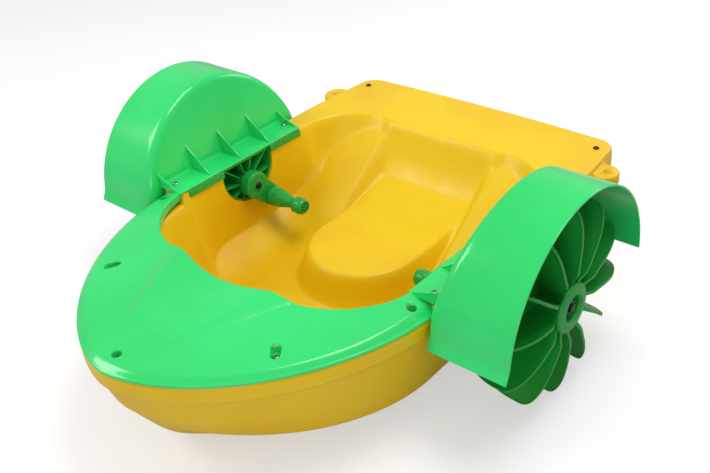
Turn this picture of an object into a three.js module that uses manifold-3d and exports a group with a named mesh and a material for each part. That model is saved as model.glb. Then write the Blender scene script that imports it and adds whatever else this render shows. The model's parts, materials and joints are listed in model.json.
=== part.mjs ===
// Hand-cranked paddle boat for one child: a hollow moulded hull, a foredeck cover, and on each side
// a paddle wheel under a guard, driven by a hand crank through the gunwale.
// Millimetres, +Z up, bow towards -Y, port side (left) towards +X.
// The origin is at the middle of the footprint, on the surface that the keel rests on.
import * as THREE from "three";
import { mergeVertices } from "three/addons/utils/BufferGeometryUtils.js";
import Module from "manifold-3d";

const wasm = await Module();
wasm.setup();

// Driving dimensions
const LENGTH = 1200;
const BEAM = 760; // hull only, over the gunwales
const GUNWALE_Z = 278; // top of the gunwales and of the stern deck
const WALL = 4.5; // skin of the hollow hull
const GAP = 0.3; // between pieces that touch
const SHOULDER_Y = -120; // the bow's curve starts here
const STERN_RADIUS = 45;
const COVER_Z = 254; // ledge that the deck cover sits on
const COVER_EDGE_Z = 262;
const COVER_AFT_Y = -133;
const COVER_SKIN = 4;
const AXLE_Y = 66;
const AXLE_Z = 213;
const AXLE_R = 9;
const RUNNING = 0.3; // radial play of the turning pieces
const NOTCH_R = 80; // bearing notch in each gunwale
const NOTCH_Z = 251; // middle of the notch's round part
const GUARD_R = 244;
const GUARD_IN = 422; // inner wall of the guard at its top, from the middle of the boat
const GUARD_LOW_IN = 386; // and at the flange: the wall leans outwards as it rises
const GUARD_OUT = 558;
const GUARD_SKIN = 4;
const FLANGE_IN = 318;
const FLANGE_FRONT = -139;
const FLANGE_REAR = 249;
const FLANGE_LOW = 278.3;
const FLANGE_TOP = 282.3;
const WHEEL_R = 205;
const WHEEL_IN = 431;
const WHEEL_OUT = 548;
const BLADES = 12;
const BLADE_THICKNESS = 4;
const BLADE_PHASE = THREE.MathUtils.degToRad(27); // first blade's direction, from +Y towards +Z
const ARM_LENGTH = 66;
const CRANK_PHASE = { left: 262, right: 312 }; // arm's direction, degrees from +Y towards +Z
const SEAT_Z = 136;
const WELL_Z = 56;

const HALF = BEAM / 2;
const BOW_Y = -LENGTH / 2;
const STERN_Y = LENGTH / 2;

const v3 = (x, y, z) => new THREE.Vector3(x, y, z);

// ---- Solids from geometries, and back ----

function solid(geometry) {
  const bare = geometry.clone();
  bare.deleteAttribute("normal");
  bare.deleteAttribute("uv");
  const merged = mergeVertices(bare, 1e-3);
  return new wasm.Manifold(
    new wasm.Mesh({
      numProp: 3,
      vertProperties: new Float32Array(merged.attributes.position.array),
      triVerts: new Uint32Array(merged.index.array),
    }),
  );
}

function geometryOf(manifold) {
  const mesh = manifold.getMesh();
  const geometry = new THREE.BufferGeometry();
  geometry.setAttribute("position", new THREE.BufferAttribute(mesh.vertProperties, 3));
  geometry.setIndex(new THREE.BufferAttribute(mesh.triVerts, 1));
  const flat = geometry.toNonIndexed();
  flat.computeVertexNormals();
  return flat;
}

// Skin over a stack of rings, each the same number of points in anticlockwise order seen from the
// last ring, with a fan from the middle of the first and the last ring.
function loft(rings) {
  const count = rings[0].length;
  const points = rings.flat();
  const index = [];
  for (let r = 0; r + 1 < rings.length; r += 1) {
    for (let i = 0; i < count; i += 1) {
      const j = (i + 1) % count;
      const low = r * count;
      const high = low + count;
      index.push(low + i, low + j, high + j, low + i, high + j, high + i);
    }
  }
  const middle = (ring) =>
    ring.reduce((sum, p) => sum.add(p), v3(0, 0, 0)).divideScalar(count);
  const last = (rings.length - 1) * count;
  const first = points.length;
  points.push(middle(rings[0]), middle(rings[rings.length - 1]));
  for (let i = 0; i < count; i += 1) {
    const j = (i + 1) % count;
    index.push(first, j, i, first + 1, last + i, last + j);
  }
  const geometry = new THREE.BufferGeometry().setFromPoints(points);
  geometry.setIndex(index);
  return geometry;
}

function box(x0, x1, y0, y1, z0, z1) {
  return new THREE.BoxGeometry(x1 - x0, y1 - y0, z1 - z0).translate(
    (x0 + x1) / 2,
    (y0 + y1) / 2,
    (z0 + z1) / 2,
  );
}

// Turned shape about an axis along X through (y, z): profile points are [x, radius].
function turnedX(profile, y, z, sides) {
  const points = profile.map(([x, r]) => new THREE.Vector2(r, x));
  return new THREE.LatheGeometry(points, sides)
    .rotateZ(-Math.PI / 2)
    .translate(0, y, z);
}

function rodX(radius, x0, x1, y = AXLE_Y, z = AXLE_Z, sides = 12) {
  return turnedX([[x0, 0], [x0, radius], [x1, radius], [x1, 0]], y, z, sides);
}

function rodZ(radius, z0, z1, x, y, sides = 8) {
  return new THREE.CylinderGeometry(radius, radius, z1 - z0, sides)
    .rotateX(Math.PI / 2)
    .translate(x, y, (z0 + z1) / 2);
}

// Outline in the Y-Z plane, as [y, z] points or a Shape, pushed along X from x0 to x1.
function slabX(outline, x0, x1, curveSegments = 12) {
  const shape = Array.isArray(outline)
    ? new THREE.Shape(outline.map(([y, z]) => new THREE.Vector2(y, z)))
    : outline;
  return new THREE.ExtrudeGeometry(shape, { depth: x1 - x0, bevelEnabled: false, curveSegments })
    .applyMatrix4(new THREE.Matrix4().set(0, 0, 1, x0, 1, 0, 0, 0, 0, 1, 0, 0, 0, 0, 0, 1));
}

function join(...geometries) {
  return geometries.map(solid).reduce((sum, piece) => sum.add(piece));
}

function cut(whole, ...geometries) {
  return geometries.map(solid).reduce((rest, piece) => rest.subtract(piece), whole);
}

// ---- Hull ----

// Half-width of the gunwale outline at a station.
function halfWidth(y) {
  if (y >= SHOULDER_Y) return HALF;
  const t = Math.min(1, (SHOULDER_Y - y) / (SHOULDER_Y - BOW_Y));
  return HALF * (1 - t ** 1.86) ** 0.6;
}

// Plan outline of the hull on the port side, from the bow tip to the middle of the stern.
function halfOutline() {
  const points = [];
  const bowSteps = 9;
  for (let k = 0; k <= bowSteps; k += 1) {
    const t = Math.cos((k / bowSteps) * (Math.PI / 2));
    const y = SHOULDER_Y - t * (SHOULDER_Y - BOW_Y);
    points.push([k ? halfWidth(y) : 0, y]);
  }
  points.push([HALF, 150], [HALF, 400]);
  const cornerSteps = 3;
  const sternHalf = HALF - 12;
  for (let k = 0; k <= cornerSteps; k += 1) {
    const a = (k / cornerSteps) * (Math.PI / 2);
    points.push([
      sternHalf - STERN_RADIUS + STERN_RADIUS * Math.cos(a),
      STERN_Y - 8 - STERN_RADIUS + STERN_RADIUS * Math.sin(a),
    ]);
  }
  points.push([0, STERN_Y]);
  return points;
}

// Both halves of an outline that starts and ends on the centreline.
function wholeOutline(half) {
  const mirrored = half
    .slice(1, -1)
    .reverse()
    .map(([x, y]) => [-x, y]);
  return [...half, ...mirrored];
}

// One ring of the outer skin. Bow and stern give where the ring ends, height gives z for a point.
function hullRing(width, bow, stern, height, inset) {
  const middle = (BOW_Y + STERN_Y) / 2;
  const stretch = (y) =>
    y < middle
      ? middle + ((y - middle) * (middle - bow - inset)) / (middle - BOW_Y)
      : middle + ((y - middle) * (stern - inset - middle)) / (STERN_Y - middle);
  return wholeOutline(halfOutline()).map(([x, y]) => {
    const rise = THREE.MathUtils.clamp((SHOULDER_Y - y) / (SHOULDER_Y - BOW_Y), 0, 1) ** 2;
    return v3((x / HALF) * (width - inset), stretch(y), height(rise));
  });
}

// The outer skin moved inwards by an inset, from the flat keel up to the gunwale.
function outerSkin(inset) {
  return loft([
    hullRing(90, -455, 530, () => inset, inset),
    hullRing(200, -505, 556, (rise) => 20 + inset + 24 * rise, inset),
    hullRing(340, -556, 582, (rise) => 58 + inset + 70 * rise, inset),
    hullRing(370, -588, 594, () => 215, inset),
    hullRing(HALF, BOW_Y, STERN_Y, () => COVER_Z - 8, inset),
    hullRing(HALF, BOW_Y, STERN_Y, () => GUNWALE_Z - 10 - inset, inset),
    hullRing(HALF - 6, BOW_Y + 6, STERN_Y - 6, () => GUNWALE_Z - inset, inset),
  ]);
}

// Cockpit rim on the port side, from the foot end under the cover to the top of the backrest.
const COCKPIT_HALF = [
  [0, -455], [110, -440], [195, -390], [262, -310], [302, -215], [318, -120], [318, 60],
  [318, 262], [312, 311], [282, 365], [240, 398], [186, 420], [135, 404], [0, 404],
];
const COCKPIT_MIDDLE = -20;

// The cockpit as a void, grown by a margin.
function cockpitVoid(margin) {
  const levels = [
    // height, width scale, length scale
    [WELL_Z, 0.72, 0.8],
    [WELL_Z + 14, 0.79, 0.86],
    [WELL_Z + 62, 0.995, 0.94],
    [215, 1, 0.985],
    [GUNWALE_Z + 20, 1, 1],
  ];
  const rings = levels.map(([z, kx, ky], level) =>
    wholeOutline(COCKPIT_HALF).map(([x, y]) => {
      const along = (y - COCKPIT_MIDDLE) * ky;
      const lift = level > 1 ? 0 : 34 * THREE.MathUtils.clamp(-(y + 180) / 280, 0, 1) ** 2;
      return v3(
        x * kx + margin * Math.sign(x),
        COCKPIT_MIDDLE + along + margin * Math.sign(along),
        z + lift - (level < 3 ? margin : 0),
      );
    }),
  );
  return loft(rings);
}

// Seat: a tongue with a round front end, thinned by a margin.
function seatTongue(margin) {
  const half = 134;
  const frontCentre = 110;
  const outline = (inset) => {
    const r = half - inset;
    const points = [];
    const steps = 10;
    for (let k = 0; k <= steps; k += 1) {
      const a = -Math.PI + (k / steps) * Math.PI;
      points.push([r * Math.cos(a), frontCentre + r * Math.sin(a)]);
    }
    points.push([r, 440], [-r, 440]);
    return points;
  };
  const ring = (inset, z) => outline(inset).map(([x, y]) => v3(x, y, z));
  return loft([
    ring(margin - 14, 20),
    ring(margin - 6, WELL_Z + 10),
    ring(margin, SEAT_Z - 18 - margin),
    ring(margin + 16, SEAT_Z - margin),
  ]);
}

// Shoulders beside the backrest: each slopes forwards from the rear rim down to a side well.
function shoulders(margin) {
  const outline = [
    [120 + margin, 40],
    [120 + margin, WELL_Z + 14 - margin],
    [250 + margin, 150 - margin],
    [408 + margin, 262 - margin],
    [450, 262 - margin],
    [450, 40],
  ];
  return [slabX(outline, 146 - margin, 330), slabX(outline, -330, margin - 146)];
}

function backrestWedge(margin) {
  const outline = [
    [318 + margin, 40],
    [332 + margin, SEAT_Z - 6],
    [352 + margin, 170],
    [402 + margin, 262],
    [402 + margin, GUNWALE_Z - margin],
    [450, GUNWALE_Z - margin],
    [450, 40],
  ];
  return slabX(outline, -138 + margin, 138 - margin);
}

// Bearing notch through a gunwale: half round below, straight above.
function notchOutline(radius) {
  const shape = new THREE.Shape();
  shape.moveTo(AXLE_Y - radius, GUNWALE_Z + 20);
  shape.lineTo(AXLE_Y - radius, NOTCH_Z);
  shape.absarc(AXLE_Y, NOTCH_Z, radius, Math.PI, 2 * Math.PI, false);
  shape.lineTo(AXLE_Y + radius, GUNWALE_Z + 20);
  return shape;
}

// All that is taken out of the hull from above, grown by a margin.
function hullVoid(margin) {
  const cockpit = cut(
    solid(cockpitVoid(margin)),
    seatTongue(margin),
    backrestWedge(margin),
    ...shoulders(margin),
  );
  const notch = (x0, x1) => slabX(notchOutline(NOTCH_R + margin), x0, x1, 6);
  const ledge = box(-420, 420, BOW_Y - 20, COVER_AFT_Y + margin, COVER_Z - margin, 330);
  return cockpit
    .add(solid(notch(295, 420)))
    .add(solid(notch(-420, -295)))
    .add(solid(ledge));
}

// Screws into the hull: name, x, y, height of the head's underside, length of the shank.
const COVER_SCREW_LENGTH = 22;
const COVER_HEAD_Z = 260; // heads of the cover's screws, down in their wells
const screws = [
  { name: "deck_screw_bow", x: 0, y: -561, head: COVER_HEAD_Z, length: COVER_SCREW_LENGTH },
  { name: "deck_screw_left", x: 229, y: -396, head: COVER_HEAD_Z, length: COVER_SCREW_LENGTH },
  { name: "deck_screw_right", x: -229, y: -396, head: COVER_HEAD_Z, length: COVER_SCREW_LENGTH },
  { name: "deck_screw_arm_left", x: 347, y: -166, head: COVER_HEAD_Z, length: COVER_SCREW_LENGTH },
  { name: "deck_screw_arm_right", x: -347, y: -166, head: COVER_HEAD_Z, length: COVER_SCREW_LENGTH },
];
const GUARD_SCREW_X = 360;
const GUARD_SCREW_Y = { front: -115, rear: 238 };
for (const [side, sign] of [["left", 1], ["right", -1]]) {
  for (const end of ["front", "rear"]) {
    screws.push({
      name: "guard_screw_" + end + "_" + side,
      x: sign * GUARD_SCREW_X,
      y: GUARD_SCREW_Y[end],
      head: FLANGE_TOP + GAP,
      length: 20,
    });
  }
  screws.push({
    name: "stern_screw_" + side,
    x: sign * 335,
    y: 541,
    head: GUNWALE_Z + GAP,
    length: 18,
  });
}
const SHANK_R = 3;
const HEAD_R = 7;
const HEAD_HEIGHT = 4;

const LUG = { x: 390, y: 475, r: 34, bottom: 240, top: 267.5, hole: 8, holeX: 396 };
const DRAIN = { x: 0, z: 150, r: 12 };

function hullGeometry() {
  const outer = solid(outerSkin(0)).subtract(hullVoid(0));
  let chamber = solid(outerSkin(WALL)).subtract(hullVoid(WALL));
  for (const s of screws) {
    const top = s.y < COVER_AFT_Y ? COVER_Z : GUNWALE_Z;
    chamber = cut(chamber, rodZ(9, top - 30, top + 5, s.x, s.y));
  }
  let hull = outer.subtract(chamber);
  for (const s of screws) {
    const low = s.head - s.length - 2;
    hull = cut(hull, rodZ(SHANK_R + GAP, low, s.head + 10, s.x, s.y));
  }
  const drain = new THREE.CylinderGeometry(DRAIN.r, DRAIN.r, 60, 12).translate(
    DRAIN.x,
    STERN_Y - 10,
    DRAIN.z,
  );
  return geometryOf(cut(hull, drain));
}

// Lug with a rope hole, outside the port gunwale near the stern.
function towEyeGeometry() {
  return geometryOf(
    cut(
      solid(rodZ(LUG.r, LUG.bottom, LUG.top, LUG.x, LUG.y, 20)),
      outerSkin(-GAP),
      rodZ(LUG.hole, LUG.bottom - 5, LUG.top + 5, LUG.holeX, LUG.y, 12),
    ),
  );
}

// ---- Deck cover ----

// Aft edge of the cover over the cockpit, from the port arm's end to the centreline.
const COVER_EDGE_HALF = [
  [322, COVER_AFT_Y], [318, -150], [308, -179], [290, -208], [264, -238], [240, -257],
  [212, -273], [180, -287], [152, -301], [120, -302], [95, -304], [50, -314], [0, -318],
];
const COVER_TOP_INSET = 16;
const COVER_TOP_Z = 278;

// The cover's plan, inset from the hull's outline and from the cockpit edge.
function coverPlan(inset, aftInset) {
  const outer = halfOutline()
    .filter(([, y]) => y < COVER_AFT_Y - 30)
    .map(([x, y]) => {
      const k = (HALF - inset) / HALF;
      return [x * k, BOW_Y + inset + (y - BOW_Y) * (1 - inset / 480)];
    });
  outer.push([halfWidth(COVER_AFT_Y) - inset, COVER_AFT_Y - aftInset]);
  const inner = COVER_EDGE_HALF.map(([x, y]) => [x + aftInset * 0.5, y - aftInset]);
  return wholeOutline([...outer, ...inner]);
}

function flatSlab(outline, z0, z1) {
  const shape = new THREE.Shape(outline.map(([x, y]) => new THREE.Vector2(x, y)));
  return new THREE.ExtrudeGeometry(shape, { depth: z1 - z0, bevelEnabled: false })
    .translate(0, 0, z0);
}

// Raised middle panel between the two ridges that run together towards the bow.
function bonnet(margin) {
  const ring = (half, noseHalf, z, noseZ) => [
    v3(-half, -310, z),
    v3(-noseHalf, -480, noseZ),
    v3(noseHalf, -480, noseZ),
    v3(half, -310, z),
  ];
  return loft([
    ring(150 - margin, 84 - margin, 262 - margin, 262 - margin),
    ring(126 - margin, 62 - margin, 299 - margin, 281 - margin),
  ]);
}

function coverGeometry() {
  const base = COVER_Z + GAP;
  const body = join(
    flatSlab(coverPlan(0, 0), base, COVER_EDGE_Z),
    flatSlab(coverPlan(COVER_TOP_INSET, 0), COVER_EDGE_Z - 1, COVER_TOP_Z),
    bonnet(0),
  );
  let cover = cut(
    body,
    flatSlab(coverPlan(COVER_SKIN, COVER_SKIN), base - 5, COVER_EDGE_Z - COVER_SKIN),
    flatSlab(coverPlan(COVER_TOP_INSET + COVER_SKIN, COVER_SKIN), base, COVER_TOP_Z - COVER_SKIN),
    bonnet(COVER_SKIN),
  );
  for (const s of screws.filter((screw) => screw.name.startsWith("deck"))) {
    cover = cover.add(solid(rodZ(13, base, COVER_TOP_Z - 2, s.x, s.y)));
    cover = cut(
      cover,
      rodZ(9, s.head - GAP, 290, s.x, s.y),
      rodZ(SHANK_R + GAP, base - 5, 290, s.x, s.y),
    );
  }
  return geometryOf(cover);
}

// ---- One side: every function below works on the port side ----

const GUSSETS = 5;
const GUSSET_RISE = { end: 28, middle: 56 };
const GUSSET_THICKNESS = 3.6;

// Arch over the wheel with a wall on its inboard side, a flange that is screwed to the gunwale,
// and gussets between the two.
function guardGeometry() {
  const crown = AXLE_Z + GUARD_R;
  const leanStart = FLANGE_TOP + 4;
  const lean = (GUARD_IN - GUARD_LOW_IN) / (crown - leanStart);
  const wallAt = (z) => Math.max(GUARD_LOW_IN, GUARD_IN - lean * (crown - z));
  const half = (radius, low) => {
    const shape = new THREE.Shape();
    shape.moveTo(AXLE_Y - radius, low);
    shape.lineTo(AXLE_Y + radius, low);
    shape.lineTo(AXLE_Y + radius, AXLE_Z);
    shape.absarc(AXLE_Y, AXLE_Z, radius, 0, Math.PI, false);
    return shape;
  };
  // All that lies inboard of the wall's leaning face, moved outboard by an offset.
  const inboard = (offset) =>
    box(
      GUARD_IN - 70, GUARD_IN, AXLE_Y - GUARD_R - 10, AXLE_Y + GUARD_R + 10,
      FLANGE_LOW - 8, crown + 10,
    ).applyMatrix4(
      new THREE.Matrix4().set(
        1, 0, lean, offset - lean * crown, 0, 1, 0, 0, 0, 0, 1, 0, 0, 0, 0, 1,
      ),
    );
  const inner = cut(
    solid(slabX(half(GUARD_R - GUARD_SKIN, AXLE_Z - 10), GUARD_LOW_IN + GUARD_SKIN, GUARD_OUT + 5, 16)),
    inboard(GUARD_SKIN),
  );
  const shell = cut(
    solid(slabX(half(GUARD_R, AXLE_Z), GUARD_LOW_IN, GUARD_OUT, 16)),
    inboard(0),
  ).subtract(inner);
  const flange = box(
    FLANGE_IN, GUARD_LOW_IN + 1, FLANGE_FRONT, FLANGE_REAR, FLANGE_LOW, FLANGE_TOP,
  );
  const gussets = [];
  for (let k = 0; k < GUSSETS; k += 1) {
    const rise = k === 0 || k === GUSSETS - 1 ? GUSSET_RISE.end : GUSSET_RISE.middle;
    const spread = FLANGE_REAR - FLANGE_FRONT - GUSSET_THICKNESS - 1;
    const outline = new THREE.Shape([
      new THREE.Vector2(FLANGE_IN + 3, FLANGE_TOP - 1),
      new THREE.Vector2(wallAt(FLANGE_TOP) + 2, FLANGE_TOP - 1),
      new THREE.Vector2(wallAt(FLANGE_TOP + rise) + 2, FLANGE_TOP + rise),
    ]);
    gussets.push(
      new THREE.ExtrudeGeometry(outline, { depth: GUSSET_THICKNESS, bevelEnabled: false })
        .rotateX(Math.PI / 2)
        .translate(0, FLANGE_FRONT + 0.5 + GUSSET_THICKNESS + (k / (GUSSETS - 1)) * spread, 0),
    );
  }
  // Low lip that turns outwards along the front edge of the arch.
  const frontLip = slabX(
    [
      [AXLE_Y - GUARD_R - 5, AXLE_Z],
      [AXLE_Y - GUARD_R + 3.5, AXLE_Z],
      [AXLE_Y - GUARD_R + 3.5, AXLE_Z + 20],
      [AXLE_Y - GUARD_R + 1, AXLE_Z + 20],
    ],
    GUARD_LOW_IN,
    GUARD_OUT,
  );
  let guard = shell.add(join(flange, frontLip, ...gussets));
  const axleSlot = slabX(
    [
      [AXLE_Y - 26, AXLE_Z - 40],
      [AXLE_Y + 26, AXLE_Z - 40],
      [AXLE_Y + 26, AXLE_Z + 14],
      [AXLE_Y + 12, AXLE_Z + 28],
      [AXLE_Y - 12, AXLE_Z + 28],
      [AXLE_Y - 26, AXLE_Z + 14],
    ],
    GUARD_LOW_IN - 5,
    GUARD_LOW_IN + 10,
  );
  guard = cut(guard, axleSlot);
  for (const y of Object.values(GUARD_SCREW_Y)) {
    guard = cut(guard, rodZ(SHANK_R + GAP, FLANGE_LOW - 8, FLANGE_TOP + 8, GUARD_SCREW_X, y));
  }
  return geometryOf(guard);
}

const BRACKET_IN = 320;
const BRACKET_OUT = 376;
const BUSH_R = 14;
const WING_IN = 313.4;
const WING_LOW = 251;
const WING_REACH = 181;

// Basket that fills the notch: a U-shaped band, a back plate, and ribs that fan out from the boss.
// Two wings lie along the cockpit wall, under the guard's flange.
function bracketGeometry() {
  const top = GUNWALE_Z - 0.4;
  const saddle = (radius) => {
    const shape = new THREE.Shape();
    shape.moveTo(AXLE_Y - radius, top);
    shape.lineTo(AXLE_Y - radius, NOTCH_Z);
    shape.absarc(AXLE_Y, NOTCH_Z, radius, Math.PI, 2 * Math.PI, false);
    shape.lineTo(AXLE_Y + radius, top);
    return shape;
  };
  const outer = NOTCH_R - 2 * GAP;
  const band = cut(
    solid(slabX(saddle(outer), BRACKET_IN, BRACKET_OUT, 6)),
    slabX(saddle(outer - 5), BRACKET_IN - 5, BRACKET_OUT + 5, 6),
  );
  const plate = slabX(saddle(outer - 2), BRACKET_IN + 34, BRACKET_IN + 38, 6);
  let bracket = band.add(solid(plate)).add(solid(rodX(22, BRACKET_IN, BRACKET_OUT)));
  const basket = solid(slabX(saddle(outer - 3), BRACKET_IN + 3, BRACKET_OUT - 3, 6));
  const ribs = 11;
  for (let k = 0; k < ribs; k += 1) {
    const angle = (k / ribs) * 2 * Math.PI - Math.PI / 2;
    const rib = box(BRACKET_IN + 3, BRACKET_OUT - 3, 18, 2 * NOTCH_R, -1.75, 1.75)
      .rotateX(angle)
      .translate(0, AXLE_Y, AXLE_Z);
    bracket = bracket.add(solid(rib).intersect(basket));
  }
  const topBar = box(
    BRACKET_IN, BRACKET_OUT, AXLE_Y - outer + 1, AXLE_Y + outer - 1, top - 5, top,
  );
  bracket = bracket.add(solid(topBar));
  for (const sign of [-1, 1]) {
    const near = AXLE_Y + sign * (outer - 5);
    const link = AXLE_Y + sign * outer;
    const tip = AXLE_Y + sign * WING_REACH;
    bracket = bracket
      .add(solid(box(WING_IN, WING_IN + 4, Math.min(near, tip), Math.max(near, tip), WING_LOW, top)))
      .add(solid(box(WING_IN, BRACKET_IN + 6, Math.min(near, link), Math.max(near, link), WING_LOW, top)));
  }
  return geometryOf(cut(bracket, rodX(BUSH_R + GAP, BRACKET_IN - 5, BRACKET_OUT + 5)));
}

function bushGeometry() {
  const flangeOut = BRACKET_OUT + GAP;
  const inner = AXLE_R + RUNNING;
  return turnedX(
    [
      [BRACKET_IN, inner],
      [BRACKET_IN, BUSH_R],
      [flangeOut, BUSH_R],
      [flangeOut, 19],
      [flangeOut + 4, 19],
      [flangeOut + 4, inner],
      [BRACKET_IN, inner],
    ],
    AXLE_Y, AXLE_Z, 12,
  );
}

const DRUM_IN = 290;
const DRUM_OUT = 318;

function axleGeometry() {
  return rodX(AXLE_R, DRUM_IN + 12, WHEEL_OUT - 4);
}

function washerGeometry() {
  const inner = AXLE_R + GAP;
  const x0 = WHEEL_IN - 4.6;
  return turnedX(
    [[x0, inner], [x0, 24], [x0 + 4, 24], [x0 + 4, inner], [x0, inner]],
    AXLE_Y, AXLE_Z, 12,
  );
}

// One blade: a flat leaf along a radius, widest halfway out and rounded towards its tip.
function bladeGeometry(phase) {
  const stations = [
    // radius, inboard edge, outboard edge
    [26, WHEEL_IN + 2, WHEEL_OUT - 8],
    [105, WHEEL_IN, WHEEL_OUT],
    [145, WHEEL_IN, WHEEL_OUT - 3],
    [170, WHEEL_IN + 2, WHEEL_OUT - 8],
    [188, WHEEL_IN + 16, WHEEL_OUT - 15],
    [199, WHEEL_IN + 40, WHEEL_OUT - 22],
    [WHEEL_R, WHEEL_IN + 62, WHEEL_OUT - 30],
  ];
  const along = [Math.cos(phase), Math.sin(phase)];
  const half = BLADE_THICKNESS / 2;
  const rings = stations.map(([radius, x0, x1]) => {
    const at = (x, offset) =>
      v3(
        x,
        AXLE_Y + radius * along[0] - offset * along[1],
        AXLE_Z + radius * along[1] + offset * along[0],
      );
    return [at(x0, -half), at(x1, -half), at(x1, half), at(x0, half)].reverse();
  });
  return loft(rings);
}

function wheelGeometry() {
  const hub = turnedX(
    [
      [WHEEL_IN, 0],
      [WHEEL_IN, 34],
      [WHEEL_IN + 40, 32],
      [WHEEL_OUT - 20, 46],
      [WHEEL_OUT - 3, 60],
      [WHEEL_OUT, 56],
      [WHEEL_OUT, 0],
    ],
    AXLE_Y, AXLE_Z, 12,
  );
  const web = turnedX(
    [[WHEEL_IN + 50, 0], [WHEEL_IN + 50, 118], [WHEEL_IN + 54, 118], [WHEEL_IN + 54, 0]],
    AXLE_Y, AXLE_Z, 12,
  );
  let wheel = join(hub, web);
  for (let k = 0; k < BLADES; k += 1) {
    wheel = wheel.add(solid(bladeGeometry(BLADE_PHASE + (k / BLADES) * 2 * Math.PI)));
  }
  return geometryOf(
    cut(
      wheel,
      rodX(AXLE_R + GAP, WHEEL_IN - 5, WHEEL_OUT + 5),
      rodX(26, WHEEL_OUT - 22, WHEEL_OUT + 5),
    ),
  );
}

function nutGeometry() {
  const x0 = WHEEL_OUT - 22 + GAP;
  const hexagon = rodX(17, x0, x0 + 13, AXLE_Y, AXLE_Z, 6);
  return geometryOf(cut(solid(hexagon), rodX(AXLE_R + GAP, x0 - 5, x0 + 20, AXLE_Y, AXLE_Z, 12)));
}

// Direction of the crank's arm, as a centre line from the axle to the grip.
function gripCentre(phase) {
  const angle = THREE.MathUtils.degToRad(phase);
  return [AXLE_Y + ARM_LENGTH * Math.cos(angle), AXLE_Z + ARM_LENGTH * Math.sin(angle)];
}

const ARM_IN = 290;
const ARM_OUT = 312;
const PIN_R = 5;

function crankArmGeometry(phase) {
  const [gy, gz] = gripCentre(phase);
  const angle = THREE.MathUtils.degToRad(phase);
  const web = box(ARM_IN, ARM_OUT, 0, ARM_LENGTH, -24, 24)
    .rotateX(angle)
    .translate(0, AXLE_Y, AXLE_Z);
  const drum = turnedX(
    [
      [DRUM_IN, 0],
      [DRUM_IN, 28],
      [DRUM_IN + 6, 33],
      [DRUM_OUT, 33],
      [DRUM_OUT, 0],
    ],
    AXLE_Y, AXLE_Z, 16,
  );
  const arm = join(drum, web, rodX(25, ARM_IN, ARM_OUT, gy, gz, 16));
  return geometryOf(
    cut(
      arm,
      rodX(AXLE_R + GAP, DRUM_IN + 11, DRUM_OUT + 5),
      rodX(5, DRUM_IN - 5, DRUM_IN + 20, AXLE_Y, AXLE_Z, 12),
      rodX(PIN_R + GAP, ARM_IN - 5, ARM_OUT - 4, gy, gz, 12),
    ),
  );
}

// Bolt through the drum's inboard face. Its tip stops short of the axle's end.
function crankBoltGeometry() {
  return turnedX(
    [
      [DRUM_IN - 4, 0],
      [DRUM_IN - 4, 7.5],
      [DRUM_IN - GAP, 9],
      [DRUM_IN - GAP, 4.5],
      [DRUM_IN + 11, 4.5],
      [DRUM_IN + 11, 0],
    ],
    AXLE_Y, AXLE_Z, 12,
  );
}

const GRIP_TIP = 186;

function gripGeometry(phase) {
  const [y, z] = gripCentre(phase);
  const bore = PIN_R + GAP;
  const root = ARM_IN - GAP;
  return turnedX(
    [
      [GRIP_TIP + 4, bore + 5],
      [GRIP_TIP, bore + 8],
      [GRIP_TIP + 3, 18],
      [GRIP_TIP + 10, 20],
      [GRIP_TIP + 25, 20],
      [GRIP_TIP + 33, 15],
      [GRIP_TIP + 40, 12],
      [GRIP_TIP + 60, 15.5],
      [root - 24, 22],
      [root - 12, 24.5],
      [root, 24.5],
      [root, bore],
      [GRIP_TIP + 10, bore],
      [GRIP_TIP + 10, bore + 5],
      [GRIP_TIP + 4, bore + 5],
    ],
    y, z, 12,
  );
}

function gripPinGeometry(phase) {
  const [y, z] = gripCentre(phase);
  const head = GRIP_TIP + 10 - GAP;
  return turnedX(
    [[head - 5, 0], [head - 5, 8], [head, 9], [head, PIN_R], [ARM_OUT - 5, PIN_R], [ARM_OUT - 5, 0]],
    y, z, 12,
  );
}

// ---- Fasteners and plug ----

function screwGeometry(s) {
  const profile = [
    [s.head + HEAD_HEIGHT, 0],
    [s.head + HEAD_HEIGHT, HEAD_R - 2],
    [s.head, HEAD_R],
    [s.head, SHANK_R],
    [s.head - s.length, SHANK_R],
    [s.head - s.length, 0],
  ];
  return new THREE.LatheGeometry(profile.reverse().map(([z, r]) => new THREE.Vector2(r, z)), 8)
    .rotateX(Math.PI / 2)
    .translate(s.x, s.y, 0);
}

// Turned shape about an axis along Y: profile points are [y, radius].
function turnedY(profile, x, z, sides) {
  return new THREE.LatheGeometry(profile.map(([y, r]) => new THREE.Vector2(r, y)), sides)
    .translate(x, 0, z);
}

const TRANSOM_Y = 590.4; // transom face at the upper edge of the drain seal

function plugGeometry() {
  const r = DRAIN.r - GAP;
  return turnedY(
    [[TRANSOM_Y - 18, 0], [TRANSOM_Y - 18, r], [TRANSOM_Y + 3.6, r], [TRANSOM_Y + 3.6, 18],
      [TRANSOM_Y + 8, 16], [TRANSOM_Y + 8, 0]],
    DRAIN.x, DRAIN.z, 12,
  );
}

function sealGeometry() {
  return turnedY(
    [[TRANSOM_Y + GAP, DRAIN.r], [TRANSOM_Y + 3.3, DRAIN.r], [TRANSOM_Y + 3.3, 17],
      [TRANSOM_Y + GAP, 17], [TRANSOM_Y + GAP, DRAIN.r]].reverse(),
    DRAIN.x, DRAIN.z, 12,
  );
}

// ---- Materials ----

const plastic = (color, roughness) =>
  new THREE.MeshStandardMaterial({ color, roughness, metalness: 0 });
const steel = new THREE.MeshStandardMaterial({ color: 0xb9bcc0, roughness: 0.3, metalness: 1 });
const yellowPlastic = plastic(0xf6cf22, 0.38);
const greenPlastic = plastic(0x2fdc6a, 0.3);
const darkGreenPlastic = plastic(0x14813a, 0.38);
const nylon = plastic(0xe8e6dc, 0.5);
const rubber = plastic(0x222222, 0.8);

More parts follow.
